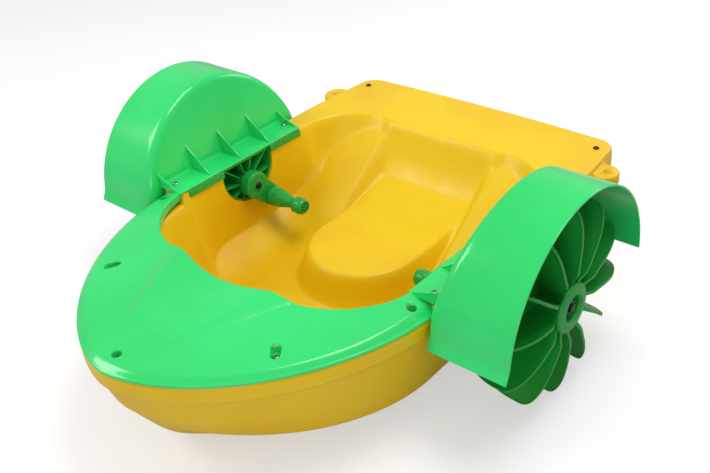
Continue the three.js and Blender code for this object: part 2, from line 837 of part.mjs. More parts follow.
function piece(name, geometry, material) {
  const mesh = new THREE.Mesh(geometry, material);
  mesh.name = name;
  return mesh;
}

// ---- Assembly ----

const boat = new THREE.Group();
boat.add(piece("hull", hullGeometry(), yellowPlastic));
boat.add(piece("deck_cover", coverGeometry(), greenPlastic));
boat.add(piece("drain_plug", plugGeometry(), yellowPlastic));
boat.add(piece("drain_seal", sealGeometry(), rubber));
for (const s of screws) {
  boat.add(piece(s.name, screwGeometry(s), steel));
}

for (const name of ["left", "right"]) {
  const side = new THREE.Group();
  side.scale.x = name === "left" ? 1 : -1;
  const phase = CRANK_PHASE[name];
  side.add(
    piece("tow_eye_" + name, towEyeGeometry(), yellowPlastic),
    piece("wheel_guard_" + name, guardGeometry(), greenPlastic),
    piece("bearing_bracket_" + name, bracketGeometry(), greenPlastic),
    piece("bearing_bush_" + name, bushGeometry(), nylon),
    piece("axle_" + name, axleGeometry(), steel),
    piece("thrust_washer_" + name, washerGeometry(), nylon),
    piece("paddle_wheel_" + name, wheelGeometry(), darkGreenPlastic),
    piece("wheel_nut_" + name, nutGeometry(), steel),
    piece("crank_arm_" + name, crankArmGeometry(phase), greenPlastic),
    piece("crank_bolt_" + name, crankBoltGeometry(), steel),
    piece("crank_grip_" + name, gripGeometry(phase), greenPlastic),
    piece("grip_pin_" + name, gripPinGeometry(phase), steel),
  );
  boat.add(side);
}

export default boat;
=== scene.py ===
# Looks of a hand-cranked paddle boat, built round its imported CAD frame.
# Blender works in metres. Shapes are worked out below in millimetres, and scaled by MM when made.
# Bow towards -Y, port side (left) towards +X.
import json
import math

import bmesh
import bpy
import numpy as np
from mathutils import Matrix, Vector


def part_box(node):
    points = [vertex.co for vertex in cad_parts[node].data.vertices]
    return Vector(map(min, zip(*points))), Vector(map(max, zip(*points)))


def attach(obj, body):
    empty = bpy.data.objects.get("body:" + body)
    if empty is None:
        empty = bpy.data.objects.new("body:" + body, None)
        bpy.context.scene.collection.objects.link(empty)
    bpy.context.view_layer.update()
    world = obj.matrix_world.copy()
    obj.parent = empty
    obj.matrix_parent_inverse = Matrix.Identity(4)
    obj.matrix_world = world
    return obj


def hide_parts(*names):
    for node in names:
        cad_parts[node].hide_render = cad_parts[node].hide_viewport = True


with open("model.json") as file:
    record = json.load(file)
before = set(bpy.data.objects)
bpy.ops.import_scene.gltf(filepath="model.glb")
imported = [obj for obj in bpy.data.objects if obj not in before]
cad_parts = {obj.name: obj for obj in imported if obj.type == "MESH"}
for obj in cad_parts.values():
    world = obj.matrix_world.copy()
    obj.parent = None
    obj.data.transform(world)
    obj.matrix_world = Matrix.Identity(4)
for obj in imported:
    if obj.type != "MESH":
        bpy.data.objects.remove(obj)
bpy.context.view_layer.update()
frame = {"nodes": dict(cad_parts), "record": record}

MM = 0.001
JOINTS = {j["name"]: j for j in frame["record"]["behaviour"]["joints"]}
SIDES = ("left", "right")


def mm_box(node):
    """Lowest and highest corner of a CAD node in millimetres."""
    low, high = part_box(node)
    return np.array(low) / MM, np.array(high) / MM


# ---- Driving dimensions, in millimetres ----

HULL_LOW, HULL_HIGH = mm_box("hull")
BOW_Y, STERN_Y = HULL_LOW[1], HULL_HIGH[1]
GUNWALE_Z = HULL_HIGH[2]
HALF_BEAM = 380.0
SHOULDER_Y = -120.0
STERN_RADIUS = 45.0
LEDGE_Z = 254.0
COVER_AFT_Y = mm_box("deck_cover")[1][1]
AXLE_Y, AXLE_Z = (JOINTS["paddle_spin_left"]["pos_m"][i] / MM for i in (1, 2))
ON_AXLE = (0, AXLE_Y, AXLE_Z)
NOTCH_R = 80.0
NOTCH_Z = 251.0
WELL_Z = 56.0
SEAT_Z = 136.0
SEAT_HALF = 134.0
SEAT_FRONT = 110.0
STERN_TAPER = 12.0  # the stern is this much narrower on each side than the beam
STERN_CAMBER = 8.0  # bulge of the transom in plan
SCREW_HEAD = 4.0


# ---- Camera ----

CAMERA_PLACE = (1.1687, -1.1878, 1.2842)
CAMERA_ANGLES = (42.78, 32.94, -4.81)  # azimuth from -Y towards +X, elevation and roll, in degrees
CAMERA_LENS = 46.6


def add_camera():
    data = bpy.data.cameras.new("camera")
    data.sensor_width = 36.0
    data.lens = CAMERA_LENS
    data.clip_end = 50.0
    camera = bpy.data.objects.new("camera", data)
    bpy.context.collection.objects.link(camera)
    azimuth, elevation, roll = (math.radians(a) for a in CAMERA_ANGLES)
    back = Vector((
        math.sin(azimuth) * math.cos(elevation),
        -math.cos(azimuth) * math.cos(elevation),
        math.sin(elevation),
    ))
    level = Vector((math.cos(azimuth), math.sin(azimuth), 0.0))
    upright = back.cross(level)
    right = math.cos(roll) * level + math.sin(roll) * upright
    up = back.cross(right)
    turn = Matrix((right, up, back)).transposed().to_4x4()
    camera.matrix_world = Matrix.Translation(CAMERA_PLACE) @ turn
    bpy.context.scene.camera = camera


add_camera()


# ---- Mesh helpers ----

def smooth_min(a, b, k):
    h = np.maximum(k - np.abs(a - b), 0.0) / k
    return np.minimum(a, b) - h * h * k / 4.0


def smooth_max(a, b, k):
    return -smooth_min(-a, -b, k)


def ease(t):
    t = np.clip(t, 0.0, 1.0)
    return t * t * (3.0 - 2.0 * t)


def make_piece(name, points, faces, sharp):
    """A mesh object from points in millimetres, smooth except at edges sharper than an angle."""
    mesh = bpy.data.meshes.new(name)
    mesh.from_pydata((np.asarray(points) * MM).tolist(), [], faces)
    mesh.validate()
    piece = bpy.data.objects.new(name, mesh)
    bpy.context.collection.objects.link(piece)
    finish_normals(piece, sharp)
    return piece


def finish_normals(piece, sharp):
    """Welds the mesh, turns its faces outwards and keeps edges sharper than an angle."""
    work = bmesh.new()
    work.from_mesh(piece.data)
    bmesh.ops.remove_doubles(work, verts=work.verts, dist=1e-6)
    bmesh.ops.recalc_face_normals(work, faces=work.faces)
    work.to_mesh(piece.data)
    work.free()
    piece.data.shade_smooth()
    piece.data.set_sharp_from_angle(angle=math.radians(sharp))


def ring_faces(rings, count):
    """Quads between stacked closed rings of the same number of points."""
    faces = []
    for r in range(rings - 1):
        for i in range(count):
            j = (i + 1) % count
            a = r * count
            faces.append((a + i, a + j, a + count + j, a + count + i))
    return faces


def loft(name, rings, sharp=38.0):
    """A closed skin over stacked closed rings, with a flat face on both ends."""
    rings = np.asarray(rings)
    count = rings.shape[1]
    faces = ring_faces(len(rings), count)
    faces.append(tuple(range(count))[::-1])
    faces.append(tuple((len(rings) - 1) * count + i for i in range(count)))
    return make_piece(name, rings.reshape(-1, 3), faces, sharp)


def rounded(points, radius, steps, closed=True):
    """A 2D outline with its corners rounded. radius is one number or one for each corner."""
    points = [np.asarray(p, float) for p in points]
    radii = radius if isinstance(radius, (list, tuple)) else [radius] * len(points)
    made = []
    for i, corner in enumerate(points):
        if not closed and i in (0, len(points) - 1):
            made.append(corner)
            continue
        before = points[i - 1] - corner
        after = points[(i + 1) % len(points)] - corner
        lb, la = np.linalg.norm(before), np.linalg.norm(after)
        reach = min(radii[i], lb * 0.49, la * 0.49)
        if reach < 1e-6:
            made.append(corner)
            continue
        start = corner + before / lb * reach
        end = corner + after / la * reach
        for k in range(steps + 1):
            t = k / steps
            made.append((1 - t) ** 2 * start + 2 * t * (1 - t) * corner + t * t * end)
    return np.array(made)


def turned(name, profile, centre, axis="X", sides=64, sharp=38.0):
    """A turned shape. profile is a closed or axis-to-axis outline of (along, radius)."""
    profile = np.asarray(profile, float)
    touches = profile[0][1] < 1e-6 and profile[-1][1] < 1e-6
    angles = np.linspace(0, 2 * math.pi, sides, endpoint=False)
    rings = []
    for along, radius in profile:
        u = radius * np.cos(angles)
        v = radius * np.sin(angles)
        w = np.full_like(u, along)
        order = {"X": (w, u, v), "Z": (u, v, w)}[axis]
        rings.append(np.stack(order, axis=1))
    points = np.concatenate(rings) + np.asarray(centre, float)
    faces = ring_faces(len(profile), sides)
    if not touches:
        base = (len(profile) - 1) * sides
        faces += [(base + i, base + (i + 1) % sides, (i + 1) % sides, i) for i in range(sides)]
    return make_piece(name, points, faces, sharp)


def rod(start, end, radius):
    """Profile of a plain rod, for turned."""
    return [(start, 0), (start, radius), (end, radius), (end, 0)]


def smooth_curve(points, steps=12):
    """Catmull-Rom curve through 2D points."""
    points = np.asarray(points, float)
    padded = np.vstack([2 * points[0] - points[1], points, 2 * points[-1] - points[-2]])
    made = []
    for i in range(1, len(padded) - 2):
        p0, p1, p2, p3 = padded[i - 1:i + 3]
        for k in range(steps):
            t = k / steps
            made.append(0.5 * (
                2 * p1
                + (p2 - p0) * t
                + (2 * p0 - 5 * p1 + 4 * p2 - p3) * t ** 2
                + (3 * p1 - p0 - 3 * p2 + p3) * t ** 3
            ))
    made.append(points[-1])
    return np.array(made)


def resample(points, count, closed=True):
    """The same outline with points at even distances along it."""
    line = np.vstack([points, points[:1]]) if closed else np.asarray(points)
    lengths = np.r_[0, np.cumsum(np.linalg.norm(np.diff(line, axis=0), axis=1))]
    at = np.linspace(0, lengths[-1], count, endpoint=not closed)
    return np.stack([np.interp(at, lengths, line[:, i]) for i in (0, 1)], axis=1)


def mirrored_outline(half):
    """Both halves of an outline that starts and ends on the centreline."""
    half = np.asarray(half, float)
    other = half[1:-1][::-1] * (-1, 1)
    return np.vstack([half, other])


def distance_inside(points, outline):
    """Distance of each point from an outline, positive inside it."""
    ends = np.roll(outline, -1, axis=0)
    spans = ends - outline
    lengths = np.maximum((spans ** 2).sum(1), 1e-9)
    result = np.empty(len(points))
    for start in range(0, len(points), 4000):
        part = points[start:start + 4000, None, :]
        t = np.clip(((part - outline) * spans).sum(2) / lengths, 0, 1)
        near = outline + t[:, :, None] * spans
        gap = np.sqrt(((part - near) ** 2).sum(2).min(1))
        x, y = part[:, 0, 0][:, None], part[:, 0, 1][:, None]
        crosses = (outline[:, 1] > y) != (ends[:, 1] > y)
        rise = np.where(spans[:, 1] == 0, 1e-9, spans[:, 1])
        at_x = outline[:, 0] + (y - outline[:, 1]) * spans[:, 0] / rise
        inside = (crosses & (x < at_x)).sum(1) % 2 == 1
        result[start:start + 4000] = np.where(inside, gap, -gap)
    return result


def combine(base, others, operation):
    """Boolean of base with other pieces, applied. The others are used up."""
    for other in others:
        step = base.modifiers.new("step", "BOOLEAN")
        step.operation = operation
        step.solver = "EXACT"
        step.object = other
        done = bpy.data.meshes.new_from_object(
            base.evaluated_get(bpy.context.evaluated_depsgraph_get())
        )
        base.modifiers.clear()
        old = base.data
        base.data = done
        bpy.data.meshes.remove(old)
        bpy.data.meshes.remove(other.data)


def shrunk(section, middle, amount):
    """The outline with each point moved towards the middle by an amount."""
    away = section - middle
    length = np.maximum(np.linalg.norm(away, axis=1, keepdims=True), 1e-6)
    return middle + away * np.maximum(1 - amount / length, 0)


def slab_x(name, outline, x0, x1, bevel=0.0):
    """An outline of (y, z) pushed along X, with its two rims bevelled."""
    outline = np.asarray(outline, float)
    if bevel:
        small = shrunk(outline, outline.mean(axis=0), bevel)
        stack = [(small, x0), (outline, x0 + bevel), (outline, x1 - bevel), (small, x1)]
    else:
        stack = [(outline, x0), (outline, x1)]
    rings = [np.c_[np.full(len(o), x), o] for o, x in stack]
    return loft(name, rings)


def slab_y(name, outline, middle, stations):
    """An outline of (x, z) pushed along Y. stations are (y, how far the outline is shrunk)."""
    rings = []
    for y, inset in stations:
        ring = shrunk(outline, middle, inset)
        rings.append(np.c_[ring[:, 0], np.full(len(ring), y), ring[:, 1]])
    return loft(name, rings)


# ---- Materials ----

def set_inputs(node, values):
    """Sets a node's inputs by name, with _ for a space."""
    for name, value in values.items():
        node.inputs[name.replace("_", " ")].default_value = value
    return node


class Nodes:
    """A short way to write a node material."""

    def __init__(self, name):
        self.material = bpy.data.materials.new(name)
        self.material.use_nodes = True
        self.tree = self.material.node_tree
        self.shader = self.tree.nodes["Principled BSDF"]
        self.coords = self.add("TexCoord")

    def add(self, kind, **values):
        return set_inputs(self.tree.nodes.new("ShaderNode" + kind), values)

    def shade(self, **values):
        set_inputs(self.shader, values)

    def link(self, source, target):
        self.tree.links.new(source, target)

    def noise(self, scale, detail, roughness=0.5, stretch=None):
        node = self.add("TexNoise", Scale=scale, Detail=detail, Roughness=roughness)
        source = self.coords.outputs["Object"]
        if stretch:
            mapping = self.add("Mapping", Scale=stretch)
            self.link(source, mapping.inputs["Vector"])
            source = mapping.outputs["Vector"]
        self.link(source, node.inputs["Vector"])
        return node.outputs["Fac"]

    def ramp(self, source, stops):
        node = self.add("ValToRGB")
        elements = node.color_ramp.elements
        elements[0].position, elements[0].color = stops[0]
        elements[1].position, elements[1].color = stops[-1]
        for position, color in stops[1:-1]:
            elements.new(position).color = color
        self.link(source, node.inputs["Fac"])
        return node.outputs["Color"]

    def span(self, source, low, high, source_low=0.3, source_high=0.7):
        ends = {"From_Min": source_low, "From_Max": source_high, "To_Min": low, "To_Max": high}
        node = self.add("MapRange", **ends)
        self.link(source, node.inputs["Value"])
        return node.outputs["Result"]

    def mix(self, factor, a, b):
        node = self.add("Mix")
        node.data_type = "RGBA"
        for value, socket in ((factor, 0), (a, 6), (b, 7)):
            if hasattr(value, "links"):
                self.link(value, node.inputs[socket])
            else:
                node.inputs[socket].default_value = value
        return node.outputs[2]

    def bump(self, source, distance, strength, onto=None):
        node = self.add("Bump", Distance=distance, Strength=strength)
        self.link(source, node.inputs["Height"])
        if onto is not None:
            self.link(onto, node.inputs["Normal"])
        return node.outputs["Normal"]


def linear(r, g, b):
    """A screen colour of 0 to 255 as a linear RGBA."""
    def one(c):
        c /= 255.0
        return c / 12.92 if c <= 0.04045 else ((c + 0.055) / 1.055) ** 2.4
    return (one(r), one(g), one(b), 1.0)


def moulded_plastic(name, base, deep, rough, peel, coat=0.0, subsurface=0.0):
    """Coloured moulded plastic: cloudy pigment, uneven gloss, orange peel and fine scuffs."""
    n = Nodes(name)
    cloud = n.ramp(n.noise(3.5, 3.0), [(0.3, deep), (0.62, base)])
    speck = n.noise(900.0, 2.0)
    colour = n.mix(n.span(speck, 0.0, 0.10, 0.55, 0.75), cloud, deep)
    scuffs = n.noise(60.0, 5.0, 0.7, stretch=(1.0, 5.0, 2.0))
    pale = tuple(min(1.0, c * 1.25 + 0.02) for c in base[:3]) + (1.0,)
    colour = n.mix(n.span(scuffs, 0.0, 0.35, 0.66, 0.82), colour, pale)
    n.link(colour, n.shader.inputs["Base Color"])
    gloss = n.noise(18.0, 4.0, 0.6)
    n.link(n.span(gloss, rough[0], rough[1]), n.shader.inputs["Roughness"])
    coarse = n.bump(n.noise(55.0, 2.0), 0.0012 * peel, 0.5)
    fine = n.bump(n.noise(420.0, 3.0), 0.00022 * peel, 0.6, onto=coarse)
    n.link(fine, n.shader.inputs["Normal"])
    n.shade(IOR=1.46)
    if coat:
        n.shade(Coat_Weight=coat, Coat_Roughness=0.08)
    if subsurface:
        n.shade(Subsurface_Weight=subsurface, Subsurface_Radius=base[:3], Subsurface_Scale=0.006)
    return n.material


def brushed_metal(name, base):
    """Satin steel with fine turning marks and dull spots."""
    n = Nodes(name)
    marks = n.noise(700.0, 2.0, stretch=(1.0, 1.0, 9.0))
    tone = n.ramp(marks, [(0.3, tuple(c * 0.8 for c in base[:3]) + (1.0,)), (0.7, base)])
    n.link(tone, n.shader.inputs["Base Color"])
    n.shade(Metallic=1.0)
    n.link(n.span(n.noise(60.0, 4.0), 0.22, 0.42), n.shader.inputs["Roughness"])
    n.link(n.bump(marks, 0.0001, 0.4), n.shader.inputs["Normal"])
    return n.material


HULL_YELLOW = moulded_plastic(
    "rotomoulded_yellow", linear(242, 202, 13), linear(234, 182, 6), (0.30, 0.46), 1.0,
    subsurface=0.08,
)
COVER_GREEN = moulded_plastic(
    "glossy_green", linear(50, 222, 118), linear(38, 208, 102), (0.14, 0.26), 0.35, coat=0.22,
)
# The wheels are the same green plastic as the cover; the darker base and deep tones here are
# painted shade for the shadow under the guard.
WHEEL_GREEN_WITH_PAINTED_SHADE = moulded_plastic(
    "wheel_green_with_painted_shade", linear(26, 158, 56), linear(14, 128, 40), (0.30, 0.46), 0.5,
)
CRANK_GREEN = moulded_plastic(
    "crank_green", linear(34, 178, 76), linear(24, 152, 60), (0.22, 0.36), 0.4,
)
NYLON = moulded_plastic(
    "natural_nylon", linear(226, 222, 208), linear(205, 200, 184), (0.38, 0.55), 0.6,
)
RUBBER = moulded_plastic(
    "black_rubber", linear(34, 34, 36), linear(20, 20, 22), (0.6, 0.8), 1.2,
)
STEEL = brushed_metal("satin_steel", linear(168, 170, 174))
# Steel darkened as painted shade, so the wheel nuts, crank bolts and axles read as dark as the
# shaded hub recess; the stern screws take it too.
STEEL_DARKENED_AS_PAINTED_SHADE = brushed_metal("steel_darkened_as_painted_shade", linear(66, 72, 68))


def dress(piece, material, body, node):
    """Gives a piece its material in its one slot and its body, and hides the CAD node that it
    stands for.
    """
    piece.data.materials.clear()
    piece.data.materials.append(material)
    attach(piece, body)
    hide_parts(node)


def dress_side(piece, side, material, body, node):
    """Dresses a piece made for the port side, turning it into its starboard twin for that side."""
    if side == "right":
        piece.data.transform(Matrix.Scale(-1, 4, (1, 0, 0)))
        piece.data.flip_normals()
    dress(piece, material, body, node + "_" + side)


# ---- Hull ----

def half_width(y):
    """Half-width of the gunwale outline at a station."""
    t = np.clip((SHOULDER_Y - y) / (SHOULDER_Y - BOW_Y), 0.0, 1.0)
    return HALF_BEAM * (1.0 - t ** 1.86) ** 0.6


def hull_half_outline():
    """Port half of the gunwale outline, from the bow tip to the middle of the stern."""
    t = np.cos(np.linspace(0, math.pi / 2, 120) ** 1.15 / (math.pi / 2) ** 0.15)
    y = SHOULDER_Y - t * (SHOULDER_Y - BOW_Y)
    bow = np.c_[half_width(y), y]
    bow[0, 0] = 0.0
    stern_half = HALF_BEAM - STERN_TAPER
    stern_y = STERN_Y - STERN_CAMBER
    side = smooth_curve([
        (HALF_BEAM, 150), (HALF_BEAM, 330), (HALF_BEAM - 3, 440), (stern_half, 540),
    ])
    a = np.linspace(0.12, math.pi / 2, 24)
    corner = np.c_[
        stern_half - STERN_RADIUS + STERN_RADIUS * np.cos(a),
        stern_y - STERN_RADIUS + STERN_RADIUS * np.sin(a),
    ]
    x = np.linspace(stern_half - STERN_RADIUS, 0, 30)[1:]
    camber = STERN_CAMBER * (1.0 - (x / (stern_half - STERN_RADIUS)) ** 2)
    stern = np.c_[x, stern_y + camber]
    return np.vstack([bow, side, corner, stern])


# Rim of the cockpit, from the bow to the backrest, with the leg space under the deck cover.
COCKPIT_HALF = [
    (0, -455), (110, -440), (195, -390), (262, -310), (302, -215), (318, -120), (318, 60),
    (318, 262), (312, 311), (282, 365), (240, 398), (190, 412), (135, 406), (60, 404), (0, 404),
]
POLE = np.array((0.0, 150.0))  # middle of the rings that make the hull's top
HULL_COUNT = 520
SEAT_REAR = 330.0
WALL_SLOPE = 3.6
CRANK_WALL_SLOPE = 27.0  # added beside the cranks, where the wall stands steeper
TUB_ROUND = 70.0  # rounding between the wall and the floor
CRANK_TUB_ROUND = 36.0  # taken off it beside the cranks
BILGE_Z = 104.0
BOW_LIFT = 34.0  # rise of the foot well's floor towards the bow
SEAT_DISH = 7.0
GUNWALE_EDGE = 11.0  # width of the softened strip along the outer edge
GUNWALE_DROP = 1.2


def tongue_outline():
    """The seat in plan, with a round front."""
    a = np.linspace(-math.pi / 2, 0, 30)
    front = np.c_[SEAT_HALF * np.cos(a), SEAT_FRONT + SEAT_HALF * np.sin(a)]
    rear = [(SEAT_HALF, 200), (SEAT_HALF, SEAT_REAR), (0, SEAT_REAR)]
    return mirrored_outline(np.vstack([front, rear]))


def reach(outline, angles):
    """Distance from the pole to an outline in each direction."""
    rays = outline - POLE
    theta = np.arctan2(rays[:, 1], rays[:, 0])
    order = np.argsort(theta)
    return np.interp(angles, theta[order], np.hypot(*rays.T)[order], period=2 * math.pi)


def top_height(x, y, rim_distance, tongue_distance):
    """Height of the hull's upper surface: gunwale, foot well, seat, backrest and shoulders."""
    gunwale = np.where(y < COVER_AFT_Y, LEDGE_Z, GUNWALE_Z)
    lift = BOW_LIFT * np.clip(-(y + 180.0) / 280.0, 0.0, 1.0) ** 2
    side = np.abs(x)
    beside_crank = ease((200.0 - np.abs(y - AXLE_Y)) / 140.0) * ease((side - 200.0) / 60.0)
    wall = GUNWALE_Z - (WALL_SLOPE + CRANK_WALL_SLOPE * beside_crank) * rim_distance
    bilge = BILGE_Z - 0.7 * (rim_distance - 3.0)
    floor = smooth_max(WELL_Z + lift + 0 * x, bilge, 30.0)
    tub = smooth_max(wall, floor, TUB_ROUND - CRANK_TUB_ROUND * beside_crank)
    dish = SEAT_DISH * np.exp(-(x / 80.0) ** 2 - ((y - 190.0) / 110.0) ** 2)
    seat = SEAT_Z - dish + 0 * x
    tongue = smooth_min(seat, seat + 3.6 * tongue_distance + 6.0, 34.0)
    slope = 150.0 + (y - 250.0) * 0.69
    shoulder = smooth_min(slope, slope + (side - 152.0) * 3.4, 58.0)
    back = smooth_max(147.0 + (y - 319.0) * 0.85, 180.0 + (y - 357.0) * 1.9, 18.0)
    back = smooth_min(back, back + (158.0 - side) * 3.0, 30.0)
    inner = smooth_max(tub, tongue, 42.0)
    inner = smooth_max(inner, shoulder, 46.0)
    inner = smooth_max(inner, back, 52.0)
    return smooth_min(inner, gunwale, 24.0)


def hull_section_rings(outline):
    """Rings of the hull's side and bottom, from the gunwale's edge down to the keel."""
    x, y = outline.T
    rise = np.clip((SHOULDER_Y - y) / (SHOULDER_Y - BOW_Y), 0.0, 1.0) ** 2
    top = np.where(y < COVER_AFT_Y - 3, LEDGE_Z, GUNWALE_Z)
    half, bow_y, stern_y = HALF_BEAM, BOW_Y, STERN_Y

    def ring(width, bow, stern, z):
        along = np.where(y < 0, y * bow / BOW_Y, y * stern / STERN_Y)
        return np.c_[x / HALF_BEAM * width, along, z + 0 * x]

    chine = 58.0 + 70.0 * rise
    keys = [
        # rounded rim and upper side
        ring(half - 3.0, bow_y + 3.0, stern_y - 3, top - 1.2),
        ring(half - 0.8, bow_y + 0.8, stern_y - 1, top - 4.5),
        ring(half, bow_y, stern_y, np.minimum(top - 9.0, 246.0)),
        ring(half, bow_y, stern_y, 240.0),
        ring(half, bow_y, stern_y, 225.0),
        # step along the side
        ring(half - 0.8, bow_y + 0.8, stern_y - 0.5, 220.0),
        ring(half - 4.5, bow_y + 5, stern_y - 3, 216.5),
        ring(half - 8.5, bow_y + 10, stern_y - 5, 213.0),
        ring(half - 9.5, bow_y + 12, stern_y - 6, 206.0),
        # lower side, chine and bottom
        ring(369.0, bow_y + 15, 592.0, 194.0),
        ring(356.0, -573.0, 588.0, chine + 66.0 * (1 - rise) + 24 * rise),
        ring(344.0, -561.0, 583.0, chine + 12.0),
        ring(336.0, -554.0, 580.0, chine - 4.0),
        ring(300.0, -541.0, 574.0, chine * 0.80),
        ring(200.0, -505.0, 556.0, 20.0 + 24.0 * rise),
        ring(116.0, -469.0, 538.0, 4.0 + 4 * rise),
        ring(90.0, -455.0, 530.0, 0.0),
    ]
    stack = np.array(keys)
    for _ in range(2):  # corner cutting rounds the section
        low = 0.75 * stack[:-1] + 0.25 * stack[1:]
        high = 0.25 * stack[:-1] + 0.75 * stack[1:]
        cut = np.empty((2 * len(low), *stack.shape[1:]))
        cut[0::2], cut[1::2] = low, high
        stack = np.concatenate([stack[:1], cut, stack[-1:]])
    return stack


def build_hull():
    """Rings from the pole on the seat out to the gunwale, then down the side to the keel."""
    outline = resample(mirrored_outline(hull_half_outline()), HULL_COUNT)
    rays = outline - POLE
    angles = np.arctan2(rays[:, 1], rays[:, 0])
    to_edge = np.hypot(*rays.T)
    rim = mirrored_outline(smooth_curve(COCKPIT_HALF))
    tongue = tongue_outline()
    to_rim = reach(rim, angles)
    to_tongue = np.minimum(reach(tongue, angles), to_rim - 70.0)
    room = to_rim - to_tongue
    seat_end = to_tongue + np.minimum(36.0, 0.3 * room)
    wall_start = to_rim - np.minimum(110.0, 0.55 * room)
    edge_start = to_edge - GUNWALE_EDGE
    # from, to, rings between them: seat, seat's edge, floor, wall, rim, gunwale, outer edge
    zones = [
        (0 * to_rim, to_tongue - 26.0, 9),
        (to_tongue - 26.0, seat_end, 18),
        (seat_end, wall_start, 8),
        (wall_start, to_rim - 30.0, 18),
        (to_rim - 30.0, to_rim - 9.0, 12),
        (to_rim - 9.0, to_rim + 3.0, 22),
        (to_rim + 3.0, to_rim + 10.0, 6),
        (to_rim + 10.0, edge_start, 7),
        (edge_start, to_edge - 3.2, 3),
    ]
    stops = [
        start + (end - start) * k / steps
        for start, end, steps in zones
        for k in range(steps)
    ]
    radii = np.array(stops[1:])
    direction = np.c_[np.cos(angles), np.sin(angles)]
    flat = POLE + radii[:, :, None] * direction
    plan = flat.reshape(-1, 2)
    rim_distance = distance_inside(plan, resample(rim, 420))
    tongue_distance = distance_inside(plan, resample(tongue, 300))
    z = top_height(plan[:, 0], plan[:, 1], rim_distance, tongue_distance)
    edge_gap = np.clip(1.0 - (to_edge - radii).ravel() / GUNWALE_EDGE, 0.0, 1.0)
    z = z - GUNWALE_DROP * edge_gap ** 2
    top_rings = np.c_[plan, z].reshape(len(radii), HULL_COUNT, 3)
    pole_z = top_height(*(np.array([v]) for v in (*POLE, 200.0, 100.0)))[0]
    rings = np.concatenate([top_rings, hull_section_rings(outline)])
    points = np.vstack([rings.reshape(-1, 3), [(*POLE, pole_z)]])
    faces = ring_faces(len(rings), HULL_COUNT)
    pole = len(points) - 1
    faces += [(pole, i, (i + 1) % HULL_COUNT) for i in range(HULL_COUNT)]
    faces.append(tuple((len(rings) - 1) * HULL_COUNT + i for i in range(HULL_COUNT)))
    return make_piece("hull_shell", points, faces, sharp=50.0)


def notch_outline(radius, top):
    """U-shaped outline round the axle, in the Y-Z plane."""
    a = np.linspace(math.pi, 2 * math.pi, 40)
    arc = np.c_[AXLE_Y + radius * np.cos(a), NOTCH_Z + radius * np.sin(a)]
    return np.vstack([[(AXLE_Y - radius, top)], arc, [(AXLE_Y + radius, top)]])


EYE_X, EYE_Y, EYE_R = 390.0, 475.0, 34.0
EYE_ROOT = 44.0  # half the length where the eye meets the hull
EYE_HOLE_R = 8.0


def build_tow_eye(name):
    """Towing eye on the hull's quarter: a rounded plate with a hole, running into the side."""
    arc = 60
    a = np.linspace(-1.9, 1.9, arc)
    round_end = np.c_[EYE_X + EYE_R * np.cos(a), EYE_Y + EYE_R * np.sin(a)]
    root = [
        (366, EYE_Y + EYE_ROOT), (362, EYE_Y + EYE_ROOT),
        (362, EYE_Y - EYE_ROOT), (372, EYE_Y - EYE_ROOT),
    ]
    plate = rounded(np.vstack([round_end, root]), [0] * arc + [6, 0, 0, 6], 4)
    hole = np.linspace(0, 2 * math.pi, 28, endpoint=False)
    levels = [(240, 5), (241.5, 2), (245, 0), (263, 0), (266.5, 2), (268, 5)]  # height, inset
    middle = plate.mean(axis=0)
    rings = []
    for z, inset in levels:
        rings.append(np.c_[shrunk(plate, middle, inset), np.full(len(plate), z)])
    lug = loft("lug", rings, sharp=50.0)
    pin_rings = [
        np.c_[
            EYE_X + 6 + EYE_HOLE_R * np.cos(hole),
            EYE_Y + EYE_HOLE_R * np.sin(hole),
            np.full(len(hole), z),
        ]
        for z in (230, 280)
    ]
    combine(lug, [loft("pin", pin_rings)], "DIFFERENCE")
    lug.name = name
    return lug


hull = build_hull()
NOTCH_IN, NOTCH_OUT = 296.0, 430.0
notches = [
    slab_x("notch", notch_outline(NOTCH_R, GUNWALE_Z + 40), *ends)
    for ends in ((NOTCH_IN, NOTCH_OUT), (-NOTCH_OUT, -NOTCH_IN))
]
combine(hull, notches, "DIFFERENCE")
finish_normals(hull, 44.0)
dress(hull, HULL_YELLOW, "boat", "hull")
for side in SIDES:
    eye = build_tow_eye("eye_" + side)
    dress_side(eye, side, HULL_YELLOW, "boat", "tow_eye")


# ---- Deck cover ----

COVER_EDGE_HALF = [
    (322, -133), (318, -152), (308, -182), (290, -211), (264, -241), (240, -260), (212, -276),
    (180, -286), (150, -291), (120, -296), (95, -302), (50, -312), (0, -317),
]
COVER_CORNER = (120, -296)  # where each arm's inner edge turns into the edge across the boat
COVER_SKIN = 4.0
RIDGE_X = (66.0, 122.0)  # half-width of the raised panel at its front and at its rear
RIDGE_Y = (-470.0, -296.0)
EDGE_BEVEL = 24.0
BEVEL_RISE = 9.0
COVER_COUNT = 430
ARM_COUNT = 176  # of those, the points along each arm
COVER_SPAN = 46


def cover_curves():
    """Matching points on the cover's outer and cockpit edges, port end to starboard end."""
    half = hull_half_outline()
    aft_end = (half_width(COVER_AFT_Y), COVER_AFT_Y)
    outer = np.vstack([half[half[:, 1] < COVER_AFT_Y], [aft_end]])[::-1]
    inner = smooth_curve(COVER_EDGE_HALF, 20)
    outer_split = int(np.argmin(np.abs(outer[:, 0] - 26.0) + (outer[:, 1] > -500) * 1e3))
    inner_split = int(np.argmin(np.linalg.norm(inner - COVER_CORNER, axis=1)))
    bow_count = COVER_COUNT // 2 - ARM_COUNT

    def paired(curve, split):
        arm = resample(curve[:split + 1], ARM_COUNT, closed=False)
        bow = resample(curve[split:], bow_count + 1, closed=False)[1:]
        return np.vstack([arm, bow])

    port = (paired(outer, outer_split), paired(inner, inner_split))
    return [np.vstack([c, c[:-1][::-1] * (-1, 1)]) for c in port]


